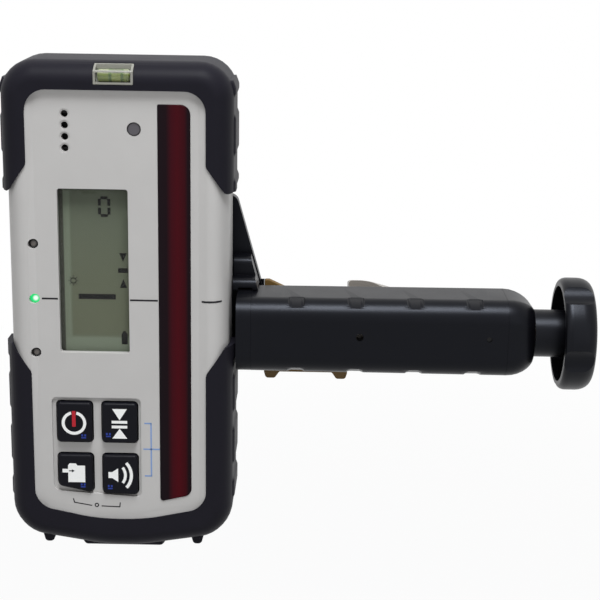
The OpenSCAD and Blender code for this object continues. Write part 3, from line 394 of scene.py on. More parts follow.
pick("VERT", lambda v: abs(v.co.y - RECEIVER.y) < HAIR and v.co.z < floor_bottom)
bpy.ops.transform.translate(value=(0, 0, -panel_drop_low * MM))
bpy.ops.object.mode_set(mode="OBJECT")

through = 8
fit = 0.05
pocket_depth, vial_depth = 0.8, 7
sensor_hole, lamp_hole, sound_hole, sound_sink = 4.3, 3.1, 2.2, 3.1
sound_holes = 4
window_corners = [(12.6, -66.2, 1), (22.5, -63.9, 2.5), (22.5, 60.5, 3), (12.6, 60.5, 0.5)]
lcd_corners = box(-18.15, 3.35, -17.2, 34.5, 0.8)
pocket_corners = [(-21.4, -63.1, 2.5), (6.6, -64.9, 1.5), (6.6, -31.9, 1.5), (-21.4, -31.9, 1.5)]
key_gap = 0.35
key_edges = {
    "power_key": box(-19.85, -8.75, -46.7, -33.4, 1.2),
    "precision_key": box(-5.65, 5.45, -46.7, -33.4, 1.2),
    "mode_key": [(-19.85, -61.3, 1.6), (-8.75, -63.6, 1.2), (-8.75, -50.7, 1.2), (-19.85, -50.7, 1.2)],
    "volume_key": [(-5.65, -63.8, 1.2), (5.45, -64, 1.2), (5.45, -50.7, 1.2), (-5.65, -50.7, 1.2)],
}
lamp_heights = {"lamp_high": 17.3, "lamp_grade": 0, "lamp_low": -17.3}
lamp_x = -25.8
sound_x, sound_middle, sound_step = -15.4, 52.1, 3.45
sound_heights = [sound_middle + (i - (sound_holes - 1) / 2) * sound_step for i in range(sound_holes)]
sensor_x, sensor_z = 5.5, 52.9
vial_corners = box(-6.4, 5.6, 66.2, 72.3, 0.5)


def widen(corners, gap):
    """The same outline with its corners moved out by a gap, for a hole round a piece."""
    middle_u = sum(u for u, v, r in corners) / len(corners)
    middle_v = sum(v for u, v, r in corners) / len(corners)
    return [
        (u + math.copysign(gap, u - middle_u), v + math.copysign(gap, v - middle_v), r + gap)
        for u, v, r in corners]


carve(
    front_shell,
    draw("cut", widen(window_corners, fit), -through, through),
    draw("cut", widen(lcd_corners, fit), -through, through),
    draw("cut", pocket_corners, -through, pocket_depth),
    draw("cut", widen(vial_corners, fit), -through, vial_depth),
    rod(sensor_hole, -through, through, sensor_x, sensor_z),
    *[draw("cut", widen(corners, key_gap), -through, through) for corners in key_edges.values()],
    *[rod(lamp_hole, -through, through, lamp_x, height) for height in lamp_heights.values()],
    *[rod(sound_hole, -through, through, sound_x, height) for height in sound_heights],
    *[rod(sound_sink, -through, 0.2, sound_x, height) for height in sound_heights],
)
ease(front_shell, 0.25)
shell_grey = moulded("shell_grey", "#bab8b6", "#b0aeac", 0.42)
dress(front_shell, shell_grey, "shell_grey", "front_shell")

# Rear shell: the grey ABS half that closes the casing, with the battery bay, the boss for the bracket
# and the lugs of the door hinge. Moulded like the front and drawn to it by four screws.
back_depth = 30
boss_depth = 31
boss_z = 6
hinge_depth, hinge_z = 28.6, -66.2
case_screw_x, case_screw_heights = 28, (57, -27)
shell_joint = split_depth + fit
beyond = 40
rear_shell = draw("rear_shell_moulding", casing(0), shell_joint, back_depth, far=shell_back_edge, steps=6)
carve(
    rear_shell,
    draw("cavity", casing(-shell_wall), split_depth - 1, back_depth - shell_wall, far=(3, 5), steps=4),
)
bay_corners = box(-28.6, 28.6, -63.8, -34)
carve(rear_shell, draw("bay", widen(bay_corners, 1.2), 12.2, 29), operation="UNION")
bracket_bosses = [rod(27, 28.9, boss_depth, 0, boss_z, sides=64), rod(13, 21.8, 29.5, 0, boss_z)]
carve(rear_shell, *bracket_bosses, operation="UNION")
for side in (-1, 1):
    lug_ends = sorted((side * 16.95, side * 22))
    carve(rear_shell, rod(3.4, *lug_ends, hinge_depth, hinge_z, along="X"), operation="UNION")
    for height in case_screw_heights:
        boss = rod(5.5, shell_joint, 28.9, side * case_screw_x, height)
        carve(rear_shell, boss, operation="UNION")
        screw_hole = rod(3.1, 5, beyond, side * case_screw_x, height)
        screw_sink = rod(4.8, 28.35, beyond, side * case_screw_x, height)
        carve(rear_shell, screw_hole, screw_sink)
carve(
    rear_shell,
    draw("cut", bay_corners, 13.4, beyond),
    draw("cut", box(-29.55, 29.55, -65.2, -33.05, 1.5), 27.8, beyond),
    draw("cut", box(-16.95, 16.95, -68.25, -64.2), 26.55, beyond),
    rod(9.1, 22.95, beyond, 0, boss_z),
    rod(1.7, -21, 21, hinge_depth, hinge_z, along="X"),
)
ease(rear_shell, 0.25)
back_grey = moulded("back_grey", "#aeacaa", "#a19f9e", 0.5, grain=0.4, depth=0.02)
dress(rear_shell, back_grey, "back_grey", "rear_shell")

# Bumpers: two black rubber boots stretched over the casing's ends, with raised grips along their sides.
# Moulded in a soft satin rubber; the lower one ends in two small feet and a flat sole.
rubber_front, rubber_back = -1.5, 30.6
rubber_half = 35.4
grip_out = 0.6
grip_ramp, grip_root = 1.6, 0.3
grip_run = grip_ramp * (grip_out + grip_root) / grip_out
far_off = 70
sliver = 0.01
ear_lean = 5.95
rubber_gap = 0.06


def both_sides(side):
    """A closed outline from its right-hand side, listed upwards, and the mirror image of it."""
    return side + [(-u, v, r) for u, v, r in reversed(side)]


def upper_opening(half):
    """Opening of the top bumper: everything below its two ears, and the panel between them."""
    right = [
        (far_off, -far_off, 0), (far_off, 33.4, 0), (half + ear_lean, 33.4, 1.6), (half, 41.9, 2.5),
        (half, 64.6, 6.5)]
    return both_sides(right)


def lower_opening(half, low):
    """Opening of the bottom bumper, the other way up and with the casing's bowed bottom."""
    right = [
        (half, 5.7 - low, 6.5), (half, -23.5, 2.5), (half + ear_lean, -15, 1.6), (far_off, -15, 0),
        (far_off, far_off, 0)]
    return [(0, -low, 60)] + both_sides(right)


def weld(piece):
    """Merges the slivers that a cut or a joint leaves, so that the next one finds a clean closed mesh."""
    bpy.ops.object.mode_set(mode="EDIT")
    bpy.ops.mesh.select_all(action="SELECT")
    bpy.ops.mesh.remove_doubles(threshold=sliver * MM)
    bpy.ops.mesh.dissolve_degenerate(threshold=sliver * MM)
    bpy.ops.object.mode_set(mode="OBJECT")


def boot(name, outline, front_opening, back_opening, grips):
    """A rubber boot: a rounded block with side grips, hollowed for the shells, open front and back."""
    piece = draw(name, outline, rubber_front, rubber_back, near=(6.2, 8), far=(3.6, 6), steps=8)
    for low, high in grips:
        for side in (-1, 1):
            inner, outer = side * (rubber_half - 5), side * (rubber_half + grip_out)
            foot, base, top = side * (rubber_half - grip_root), low - grip_run, high + grip_run
            grip = [
                (inner, base, 0), (foot, base, 0), (outer, low, 1.5), (outer, high, 1.5), (foot, top, 0),
                (inner, top, 0)]
            carve(piece, draw("grip", grip, 5, 25, near=(1.2, 2), far=(1.2, 2), steps=3), operation="UNION")
            weld(piece)
    hollow = draw(
        "casing", casing(rubber_gap), -rim_height - rubber_gap, back_depth + rubber_gap, near=shell_edge,
        far=shell_back_edge, steps=8)
    tools = [
        hollow,
        draw("opening", front_opening, -far_off, split_depth),
        draw("opening", back_opening, split_depth - 0.1, far_off),
    ]
    for tool in tools:
        carve(piece, tool)
        weld(piece)
    return piece


rubber = moulded(
    "bumper_rubber", "#18171d", "#1e1d24", 0.45, grain=0.35, depth=0.02, Specular_IOR_Level=0.06)
opening_front, opening_back = 27.2, 31
top_outline = both_sides([(rubber_half, 20, 0), (rubber_half, 73, 10.6)])
top_bumper = boot(
    "top_bumper_boot", top_outline, upper_opening(opening_front), upper_opening(opening_back),
    [(33, 36.2), (45.4, 55.8), (63.4, 65)])
carve(top_bumper, draw("vial_place", widen(vial_corners, fit), -far_off, vial_depth))
ease(top_bumper, 0.5, steps=3)
dress(top_bumper, rubber, "bumper_rubber", "top_bumper")

bottom_outline = [(0, -84, 60)] + both_sides([(rubber_half, -78.3, 12), (rubber_half, -8, 0)])
bottom_bumper = boot(
    "bottom_bumper_boot", bottom_outline,
    lower_opening(opening_front, 73.6), lower_opening(opening_back, 75.6),
    [(-19.6, -14), (-36.7, -26.4), (-54.2, -43.9), (-66, -61.4)])
foot_low, foot_high = -82.5, -78.4
for foot_x in (-24, 24):
    foot_edges = [
        (foot_x - 1.3, foot_low, 1.2), (foot_x + 1.3, foot_low, 1.2), (foot_x + 2.4, foot_high, 0),
        (foot_x - 2.4, foot_high, 0)]
    foot = draw("foot", foot_edges, 4, 24, near=(0.6, 0.6), far=(0.6, 0.6), steps=3)
    carve(bottom_bumper, foot, operation="UNION")
sole_edges = both_sides([(12.6, -84, 1.6), (14.7, -80.6, 0)])
sole = draw("sole", sole_edges, 4.5, 24, near=(1.2, 3))
carve(bottom_bumper, sole, operation="UNION")
ease(bottom_bumper, 0.5, steps=3)
dress(bottom_bumper, rubber, "bumper_rubber", "bottom_bumper")
# Detector window: a long strip of dark red acrylic over the photodiodes, clipped in from behind.
# Dyed through, with a black mask behind its sides, so that only the middle shows red.
window_front, window_back = -0.3, 3.4
flange_front = 2.25
flange_width = 1.2
detector_window = draw(
    "detector_window_strip", window_corners, window_front, window_back, near=(0.3, 0.3), steps=3)
window_flange = draw("flange", widen(window_corners, flange_width), flange_front, window_back)
carve(detector_window, window_flange, operation="UNION")
ease(detector_window, 0.15)
acrylic = Finish("window_red", Specular_IOR_Level=0.05)
span = acrylic.node("SeparateXYZ", Vector=acrylic.place)
height = acrylic.node("SeparateXYZ", output=2, Vector=acrylic.place)
window_left, window_right = RECEIVER.x + 12.6 * MM, RECEIVER.x + 22.5 * MM
share = (span - window_left) * (1 / (window_right - window_left))
band = acrylic.node("ValToRGB", i0=share)
acrylic_stops = [
    (0, "#140f13"), (0.26, "#180c11"), (0.42, "#3f0812"), (0.6, "#480610"), (0.82, "#3a060e"),
    (0.92, "#160b10")]


def ramp(wire, stops):
    """Sets the colour stops of a ramp."""
    steps = wire.socket.node.color_ramp.elements
    while len(steps) < len(stops):
        steps.new(1)
    for step, (position, code) in zip(steps, stops):
        step.position = position
        step.color = tint(code)
    return wire


ramp(band, acrylic_stops)
low_share = acrylic.node("MapRange", i0=height, i1=RECEIVER.z - 66 * MM, i2=RECEIVER.z + 60 * MM)
acrylic.set(Base_Color=acrylic.mix(low_share * 0.25 + acrylic.noise(14, 2) * 0.1, band, tint("#20141a")))
acrylic.set(Roughness=0.12 + acrylic.noise(5, 3) * 0.08)
dress(detector_window, acrylic.material, "window_red", "detector_window")

# Display: a reflective liquid-crystal glass behind a clear cover that is set a little below the panel.
# The cover is bonded in from behind; the glass has a dark frame, a paler margin and black segments, and
# painted shade of the recess walls darkens its left and top edges.
cover_front, cover_back, glass_front, glass_back = 1, 3.2, 3.25, 5.2
lcd_cover = draw("display_cover", lcd_corners, cover_front, cover_back)
cover_flange = draw("flange", widen(lcd_corners, flange_width), flange_front, cover_back)
carve(lcd_cover, cover_flange, operation="UNION")
ease(lcd_cover, 0.1)
clear = Finish("clear_cover", Base_Color=tint("#3c4038"), Alpha=0.06, Coat_Weight=0.2)
clear.set(Roughness=0.06 + clear.noise(6, 3) * 0.06)
dress(lcd_cover, clear.material, "clear_cover", "lcd_cover")

glass = draw("display_glass", box(-18.85, 4.05, -17.9, 35.2, 0.4), glass_front, glass_back)
ease(glass, 0.15)
crystal = Finish("lcd_glass", Specular_IOR_Level=0.1)
sideways = crystal.node("SeparateXYZ", Vector=crystal.place)
upwards = crystal.node("SeparateXYZ", output=2, Vector=crystal.place)


def fade(finish, wire, start, stop):
    """0 before one place in metres and 1 after another, with a soft change between."""
    return finish.node("MapRange", {"interpolation_type": "SMOOTHSTEP"}, i0=wire, i1=start, i2=stop)


margin_left = 1 - fade(crystal, sideways, RECEIVER.x - 15.4 * MM, RECEIVER.x - 14.4 * MM)
margin_low = 1 - fade(crystal, upwards, RECEIVER.z - 13.6 * MM, RECEIVER.z - 12 * MM)
# Darker left and top edges: partly the glass's dark frame, partly painted shade cast by the recess walls.
left_frame_and_shade = 1 - fade(crystal, sideways, RECEIVER.x - 17.2 * MM, RECEIVER.x - 16.7 * MM)
top_frame_and_shade = fade(crystal, upwards, RECEIVER.z + 33 * MM, RECEIVER.z + 34 * MM)
high_share = fade(crystal, upwards, RECEIVER.z - 10 * MM, RECEIVER.z + 36 * MM)
tone = crystal.mix(high_share, tint("#676b58"), tint("#646b5c"))
pale = crystal.math("MAXIMUM", margin_left * 0.8, margin_low)
tone = crystal.mix(pale, tone, tint("#7d8775"))
tone = crystal.mix(crystal.math("MAXIMUM", left_frame_and_shade, top_frame_and_shade * 0.7), tone, tint("#3f3f3a"))
crystal.set(Base_Color=crystal.mix(crystal.noise(3, 3) * 0.18, tone, tint("#6b7060")))
crystal.set(Roughness=0.3 + crystal.noise(2, 2) * 0.1)
dress(glass, crystal.material, "lcd_glass", "lcd_panel")


def stroke(start, stop, width):
    """Corners of a straight line between two points, with square ends."""
    start, stop = Vector(start), Vector(stop)
    side = (stop - start).orthogonal().normalized() * width / 2
    return [(*point, 0) for point in (start + side, stop + side, stop - side, start - side)]


def arc(middle, radius, width, first, last, count=24):
    """Corners of a curved line round a point, between two angles in degrees from the right."""
    turns = [math.radians(first + (last - first) * i / count) for i in range(count + 1)]
    edges = [(radius + width / 2, turns), (radius - width / 2, turns[::-1])]
    return [(middle[0] + r * math.cos(t), middle[1] + r * math.sin(t), 0) for r, row in edges for t in row]


def flat(points):
    return [(u, v, 0) for u, v in points]


def ink(name, shapes, level, material, slot, body="receiver", thickness=0.03):
    """Printed marks: thin filled shapes that stand a hair in front of the face at a level in mm."""
    marks = [draw(name, shape, level - thickness, level) for shape in shapes]
    bpy.ops.object.select_all(action="DESELECT")
    for mark in marks:
        mark.select_set(True)
    bpy.context.view_layer.objects.active = marks[0]
    bpy.ops.object.join()
    dress(marks[0], material, slot, body=body)


def printed(name, colour, shade, roughness=0.5):
    """Screen-printed ink: one colour with a slight unevenness."""
    finish = Finish(name, Specular_IOR_Level=0.2)
    grain = finish.noise(0.4, 3)
    finish.set(Base_Color=finish.mix(grain, tint(colour), tint(shade)))
    finish.set(Roughness=roughness - 0.05 + grain * 0.1)
    return finish.material


segment_width = 0.95
segment_ink = printed("segment_black", "#0e0d0e", "#161416")
digit_left, digit_right, digit_low, digit_high = -5.7, -2.8, 25.8, 31.3
digit_middle = (digit_low + digit_high) / 2
half_digit = [(digit_low, digit_middle), (digit_middle, digit_high)]
segments = [
    stroke((x, low + 0.3), (x, high - 0.3), segment_width)
    for x in (digit_left, digit_right) for low, high in half_digit]
segments += [
    stroke((digit_left + 0.35, z), (digit_right - 0.35, z), segment_width) for z in (digit_low, digit_high)]
sun_middle, sun_rays = Vector((-14.2, 5.1)), 8
segments += [
    flat([(0.1, 14.1), (2.5, 14.1), (1.3, 11.3)]), box(-0.3, 2.75, 7.8, 9.3),
    flat([(0.2, 3), (2.45, 3), (1.3, 5.9)]), box(-12.7, -1.1, -0.75, 0.95),
    box(0.5, 2.4, -15.2, -11.6, 0.3), box(0.95, 1.95, -11.6, -10.9), arc(sun_middle, 0.85, 0.3, 0, 350),
]
for i in range(sun_rays):
    ray = Vector((math.cos(i * math.tau / sun_rays), math.sin(i * math.tau / sun_rays)))
    segments.append(stroke(sun_middle + ray * 1.2, sun_middle + ray * 1.65, 0.25))
ink("display_segments", segments, glass_front, segment_ink, "lcd_glass")
faint_ink = printed("segment_faint", "#545a4b", "#5a604f")
ink("display_faint_mark", [box(-11, -6.7, 32.4, 33.2)], glass_front, faint_ink, "lcd_glass")
# Keys: four black silicone keys that stand through the panel from a flanged mat, each with a printed sign.
# Moulded with a soft edge and a satin face; the signs are white, red and blue ink.
key_front, key_back = -0.9, 3.75
key_black = moulded("key_black", "#0a0a10", "#101017", 0.36, grain=0.3, depth=0.006, Specular_IOR_Level=0.1)
for key, corners in key_edges.items():
    cap = draw(key + "_cap", corners, key_front, key_back, near=(0.9, 0.9), steps=4)
    carve(cap, draw("flange", widen(corners, 0.9), 2.5, key_back), operation="UNION")
    ease(cap, 0.2)
    dress(cap, key_black, "key_black", key, body=key)

white_ink = printed("white_ink", "#f2f2f0", "#e4e4e2")
red_ink = printed("red_ink", "#b8232f", "#a31d29")
blue_ink = printed("blue_ink", "#2a3f9a", "#22347f")
key_face = key_front - 0.01
power_middle = (-14.4, -40.1)
power_ring = arc(power_middle, 3.4, 0.95, 104, 436, 40)
ink("power_sign", [power_ring], key_face, white_ink, "key_black", "power_key")
ink("power_bar", [box(-15, -13.85, -41.3, -36.1, 0.2)], key_face, red_ink, "key_black", "power_key")
ink("precision_sign", [
    flat([(-2.3, -35.2), (2.35, -35.2), (0, -38.9)]), box(-2.5, 2.4, -40, -39.1),
    box(-2.5, 2.4, -41.6, -40.7), flat([(-2.35, -45), (2.35, -45), (0, -41.7)])],
    key_face, white_ink, "key_black", "precision_key")
mode_shape = flat([
    (-16.6, -59.9), (-11.2, -59.9), (-11.2, -54.3), (-13.6, -54.3), (-14.1, -53.6), (-16.1, -53.6),
    (-16.6, -54.3), (-16.6, -55.5), (-18.4, -55.5), (-18.4, -56.7), (-16.6, -56.7)])
ink("mode_sign", [mode_shape], key_face, white_ink, "key_black", "mode_key")
ink("mode_arrow", [
    stroke((-16.3, -56.1), (-15.3, -56.1), 0.3), flat([(-15.4, -55.6), (-14.5, -56.1), (-15.4, -56.6)])],
    key_face - 0.03, key_black, "key_black", "mode_key")
sound_from = (-2.7, -57.3)
ink("volume_sign", [
    flat([(-3.8, -56.3), (-2.6, -56.3), (-0.7, -55), (-0.7, -59.6), (-2.6, -58.3), (-3.8, -58.3)]),
    arc(sound_from, 4.3, 0.9, -37, 37), arc(sound_from, 6.2, 1, -42, 42)],
    key_face, white_ink, "key_black", "volume_key")
mark_half = 0.75
mark_places = {
    "power_key": (-11.4, -44.4), "precision_key": (-3.6, -43.8), "mode_key": (-11.9, -60.9),
    "volume_key": (-3.3, -61.3)}
for name, (x, z) in mark_places.items():
    mark = [
        box(x - mark_half, x + mark_half, z - mark_half, z - 0.35),
        box(x - mark_half, x - 0.2, z - 0.1, z + 0.6),
        box(x + 0.2, x + mark_half, z - 0.1, z + 0.6)]
    ink(name + "_mark", mark, key_face, blue_ink, "key_black", name)

# Panel print: the black on-grade index beside the display and window, and two brackets at the keys.
# Screen-printed on the shell; the right-hand index runs over the rim.
line_ink = printed("line_black", "#19181b", "#232226")
pale_blue_ink = printed("line_blue", "#7d98c6", "#7590c0")
ink("index_lines", [box(-23.6, -18.6, -0.25, 0.3), box(3.7, 12.3, -0.35, 0.2)], 0, line_ink, "shell_grey")
bracket_x, bracket_top, bracket_middle, bracket_low = 9.8, -40.1, -48.7, -57.7
blue_line, thin_line = 0.45, 0.35
ink("key_bracket", [
    stroke((bracket_x, bracket_top), (bracket_x, bracket_low), blue_line),
    *[stroke((bracket_x - 2.1, z), (bracket_x + 0.2, z), blue_line) for z in (bracket_top, bracket_low)],
    stroke((bracket_x - 2.5, bracket_middle), (12.5, bracket_middle), blue_line)],
    0, pale_blue_ink, "shell_grey")
ink("mode_bracket", [
    stroke((-15.3, -65.8), (-14.9, -67.2), thin_line), stroke((-15, -67.1), (-9.3, -68.1), thin_line),
    stroke((-6.3, -68.2), (-0.4, -68.4), thin_line), stroke((-0.45, -68.5), (-0.3, -66.9), thin_line),
    arc((-7.8, -67.9), 0.55, thin_line, 0, 355)], 0, line_ink, "shell_grey")

# Lamps and light sensor: three level lamps with domed lenses at the left edge, and a dark sensor lens.
# Moulded epoxy and acrylic pressed in from behind; the middle lamp is lit green.
lens_front, lens_back = 0.3, 6.95


def lens(name, diameter, flange, x, z, dome):
    """A round lens with a domed front and a flange behind the shell."""
    piece = rod(diameter, lens_front, lens_back, x, z, sides=48)
    piece.name = name
    face = RECEIVER.y + lens_front * MM
    bpy.ops.object.mode_set(mode="EDIT")
    pick("EDGE", lambda e: all(abs(v.co.y - face) < HAIR for v in e.verts))
    bpy.ops.mesh.bevel(offset=dome * MM, segments=6, profile=0.5, affect="EDGES", clamp_overlap=False)
    bpy.ops.object.mode_set(mode="OBJECT")
    carve(piece, rod(flange, 2.4, lens_back, x, z, sides=48), operation="UNION")
    return ease(piece, 0.1)


def round_spot(finish, x, z):
    """Distance in metres from an axis through the panel at a place in mm."""
    middle = (RECEIVER.x + x * MM, 0, RECEIVER.z + z * MM)
    offset = finish.node("VectorMath", {"operation": "SUBTRACT"}, i0=finish.place, i1=middle)
    across_panel = finish.node("VectorMath", {"operation": "MULTIPLY"}, i0=offset, i1=(1, 0, 1))
    return finish.node("VectorMath", {"operation": "LENGTH"}, output="Value", i0=across_panel)


lit = Finish("lamp_green", Roughness=0.25, Emission_Strength=1)
lit_core = fade(lit, round_spot(lit, lamp_x + 0.3, 0.1), 0.35 * MM, 1.1 * MM)
lit.set(Base_Color=tint("#0c3a20"), Emission_Color=lit.mix(lit_core, tint("#f4fff8"), tint("#1fdc78")))
for lamp, height in lamp_heights.items():
    piece = lens(lamp + "_lens", 3, 3.8, lamp_x, height, 0.9)
    if lamp == "lamp_grade":
        dress(piece, lit.material, "lamp_green", lamp)
    else:
        dark = Finish(lamp + "_dark", Roughness=0.3)
        dark_spot = fade(dark, round_spot(dark, lamp_x, height), 0.4 * MM, 1.2 * MM)
        dark.set(Base_Color=dark.mix(dark_spot, tint("#5a5450"), tint("#1c1a1b")))
        dress(piece, dark.material, "lamp_dark", lamp)
sensor = lens("light_sensor_lens", 4.2, 5.4, sensor_x, sensor_z, 0.5)
smoked = Finish("smoked_lens", Roughness=0.35)
sensor_rim = fade(smoked, round_spot(smoked, sensor_x, sensor_z), 1.5 * MM, 2 * MM)
smoked.set(Base_Color=smoked.mix(sensor_rim, tint("#4b484d"), tint("#2a282c")))
dress(sensor, smoked.material, "black_plastic", "light_sensor")
# Level vial: a small bubble level in the top edge, read from the front and from above.
# A grey frame holds a clear tube of yellow-green liquid with two black rings and a bubble between them.
vial_left, vial_right = -6.4, 5.6
tube_depth, tube_z, tube_width = 1.35, 68.75, 4.4
vial_side = [(-1.5, 66.2, 0.3), (7, 66.2, 0), (7, 72.3, 0), (2.6, 72.2, 0.3), (-1.5, 70.3, 0.3)]
vial_edge = (0.2, 0.2)
vial_frame = draw("vial_frame_block", vial_side, vial_left, vial_right, "X", near=vial_edge, far=vial_edge)
top_window = [(-5.7, -1, 0.3), (4.9, -1, 0.3), (4.9, 2.3, 0.3), (-5.7, 2.3, 0.3)]
carve(
    vial_frame,
    rod(tube_width + 0.1, -5.95, 5.15, tube_depth, tube_z, "X", RECEIVER, 48),
    draw("cut", box(-5.7, 4.9, 66.9, 69.9, 0.3), -5, tube_depth),
    draw("cut", top_window, tube_z, tube_z + 9, "Z"),
)
ease(vial_frame, 0.12)
vial_grey = moulded("vial_grey", "#8f8e86", "#807f77", 0.25, grain=0.5, depth=0.004)
dress(vial_frame, vial_grey, "clear_cover", "vial_frame")

tube = rod(tube_width, -5.8, 5, tube_depth, tube_z, "X", RECEIVER, 48)
tube.name = "vial_tube_glass"
carve(tube, rod(tube_width - 0.5, -5.3, 4.5, tube_depth, tube_z, "X", RECEIVER, 48))
ease(tube, 0.3)
vial_clear = Finish("vial_clear", Base_Color=tint("#e8efd8"), Alpha=0.08)
vial_clear.set(Roughness=0.05 + vial_clear.noise(3, 2) * 0.05)
dress(tube, vial_clear.material, "clear_cover", "vial_tube")

liquid = rod(tube_width - 0.6, -5.25, 4.45, tube_depth, tube_z, "X", RECEIVER, 48)
liquid.name = "vial_liquid_fill"
ease(liquid, 0.8, steps=4)
spirit = Finish("vial_spirit", Specular_IOR_Level=0.3)
along_vial = spirit.node("SeparateXYZ", Vector=spirit.place)
vial_height = spirit.node("SeparateXYZ", output=2, Vector=spirit.place)
rings = 0
for ring_x in (-1.35, 2.25):
    from_ring = spirit.math("ABSOLUTE", along_vial - (RECEIVER.x + ring_x * MM), 0)
    rings = spirit.math("MAXIMUM", 1 - fade(spirit, from_ring, 0.35 * MM, 0.55 * MM), rings)
from_bubble = spirit.math("ABSOLUTE", along_vial - (RECEIVER.x + 0.45 * MM), 0)
bubble = 1 - fade(spirit, from_bubble, 1.1 * MM, 1.5 * MM)
# Upper band, seen through the top window: painted in a greyer shade, with a painted shadow of the bubble in
# its middle.
overhead = fade(spirit, vial_height, RECEIVER.z + 69.2 * MM, RECEIVER.z + 69.7 * MM)
front_tone = spirit.mix(bubble * 0.7, tint("#7d8d3c"), tint("#a3ad62"))
shaded_top_tone = spirit.mix(bubble, tint("#8a8c70"), tint("#4c503c"))
ringed = spirit.mix(rings, spirit.mix(overhead, front_tone, shaded_top_tone), tint("#40602b"))
spirit.set(Base_Color=spirit.mix(spirit.noise(1.5, 2) * 0.2, ringed, tint("#8fa04a")))
spirit.set(Roughness=0.15 + spirit.noise(2, 2) * 0.1)
dress(liquid, spirit.material, "vial_liquid", "vial_liquid")

# Right-hand index: the printed line beside the window, which runs on over the panel's rim.
# A strip laid on the shell from in front and given the thickness of ink.
index_left, index_right = 25.9, 32
strip_front, strip_back = -4, -3
ink_lift, ink_thickness = 0.02, 0.03
index_line = draw("index_line_right", box(index_left, index_right, -0.35, 0.25), strip_front, strip_back)
bpy.ops.object.mode_set(mode="EDIT")
back_of_strip = RECEIVER.y + strip_back * MM
pick("FACE", lambda f: f.calc_center_median().y < back_of_strip - HAIR)
bpy.ops.mesh.delete(type="FACE")
bpy.ops.mesh.select_all(action="SELECT")
bpy.ops.mesh.subdivide(number_cuts=40)
bpy.ops.object.mode_set(mode="OBJECT")
laid = index_line.modifiers.new("laid", "SHRINKWRAP")
laid.target = front_shell
laid.wrap_method = "PROJECT"
laid.use_project_y = True
laid.use_negative_direction = False
laid.offset = ink_lift * MM
bpy.ops.object.modifier_apply(modifier="laid")
inked = index_line.modifiers.new("inked", "SOLIDIFY")
inked.thickness = ink_thickness * MM
bpy.ops.object.modifier_apply(modifier="inked")
dress(index_line, line_ink, "shell_grey")

# Battery door: the grey cover of the cell bay in the casing's back, on two knuckles at its foot.
# Moulded like the rear shell, with a finger notch at the top edge and grooves to press on.
door_front, door_back = 28.15, 30
door_corners = box(-29.2, 29.2, -64.2, -33.4, 1.5)
battery_door = draw("battery_door_cover", door_corners, door_front, door_back, far=(0.4, 0.4), steps=3)
for side in (-1, 1):
    knuckle_ends = sorted((side * 9, side * 16.6))
    carve(
        battery_door,
        draw("leaf", box(*knuckle_ends, hinge_z, -63.2), door_front, door_back - 0.05),
        rod(3.3, *knuckle_ends, hinge_depth, hinge_z, "X", RECEIVER, 32),
        operation="UNION")
carve(
    battery_door,
    rod(1.6, -30, 30, hinge_depth, hinge_z, "X", RECEIVER, 24),
    rod(16, 29.1, beyond, 0, -33.4),
    *[draw("groove", box(-9, 9, z - 0.5, z + 0.5, 0.45), 29.6, beyond) for z in (-44, -46.4, -48.8)],
)
ease(battery_door, 0.2)
dress(battery_door, back_grey, "back_grey", "battery_door", body="battery_door")

# Bracket frame: the black glass-filled nylon moulding that carries the receiver on the rod clamp.
# Its plate screws to the casing's back, a gusset with two rounded steps runs down to the handle's end wall,
# and the fixed jaw stands behind them.
plate_front, plate_back = -12.95, -8.95
gusset_top, gusset_base, gusset_lean = 41, 10, 8.8
plate_right = -0.4
end_left, end_right = -7.9, -3.25
jaw_half, jaw_tip_half, jaw_reach = 12.5, 7.25, 11
grip_front, grip_back, grip_axis = -39.6, -14, -27
grip_low_half, grip_high_half = 12, 12.3
grip_swell = grip_high_half / grip_low_half
screw_x, screw_z = -44, 18.9
grip_screw_z = 9.97
step_gap = 0.35
root_depth = -11.9


def gusset_edge(height):
    """How far right the gusset reaches at a height: it leans back to the casing as it rises."""
    return plate_right - gusset_lean * (height - gusset_base) / (gusset_top - gusset_base)


def on_clamp(name, corners, start, stop, along="Y", **rounding):
    return draw(name, corners, start, stop, along, CLAMP, **rounding)


def axial(diameter, start, stop, sides=40):
    """A round bar on the axis of the clamp screw."""
    return rod(diameter, start, stop, grip_axis, 0, "X", CLAMP, sides)


def grip_section(half):
    """Section of the handle: generous rounding at the front, where the hand lies, and less at the back."""
    return [
        (grip_front, -half, 6.5), (grip_back, -half, 4.5), (grip_back, half, 4.5), (grip_front, half, 6.5)]


def gusset_step(front, top):
    """One step of the gusset, with a round top edge."""
    low = grip_low_half + step_gap
    side = [(front, low, 0), (root_depth, low, 0), (root_depth, top, 0), (front, top, 2.4)]
    return on_clamp("step", side, -9.6, 2, "X")


steps = carve(gusset_step(-26, 15.8), gusset_step(-20, 21.5), operation="UNION")
step_in = 0.4
trim = [(gusset_edge(0) - step_in, 0, 0), (20, 0, 0), (20, 60, 0), (gusset_edge(60) - step_in, 60, 0)]
carve(steps, on_clamp("trim", trim, -30, 0))
ease(steps, 0.7, steps=3)
bracket_frame = on_clamp("bracket_moulding", [
    (screw_x - 16, screw_z - 16, 14), (plate_right, -jaw_half, 2), (plate_right, gusset_base, 0),
    (gusset_edge(gusset_top), gusset_top, 3), (screw_x - 16, screw_z + 16, 14)], plate_front, plate_back)
jaw_side = [
    (-jaw_reach, -jaw_half, 0), (jaw_reach, -jaw_tip_half, 1.5), (jaw_reach, jaw_tip_half, 1.5),
    (-jaw_reach, jaw_half, 0)]
jaw = on_clamp("jaw", jaw_side, -7, 0, "X")
rib = on_clamp("rib", [(-22.4, root_depth, 0), (-6, root_depth, 0), (-6, 9, 0)], -2, 2, "Z")
wall = on_clamp("wall", grip_section(grip_low_half), end_left, end_right, "X")
web = on_clamp("web", box(-19.5, root_depth, -7.5, 15.7), end_left, end_right, "X")
shelf = on_clamp("shelf", box(-26, root_depth, 0, 13), end_left, end_right, "X")
carve(bracket_frame, jaw, rib, wall, web, shelf, steps, operation="UNION")
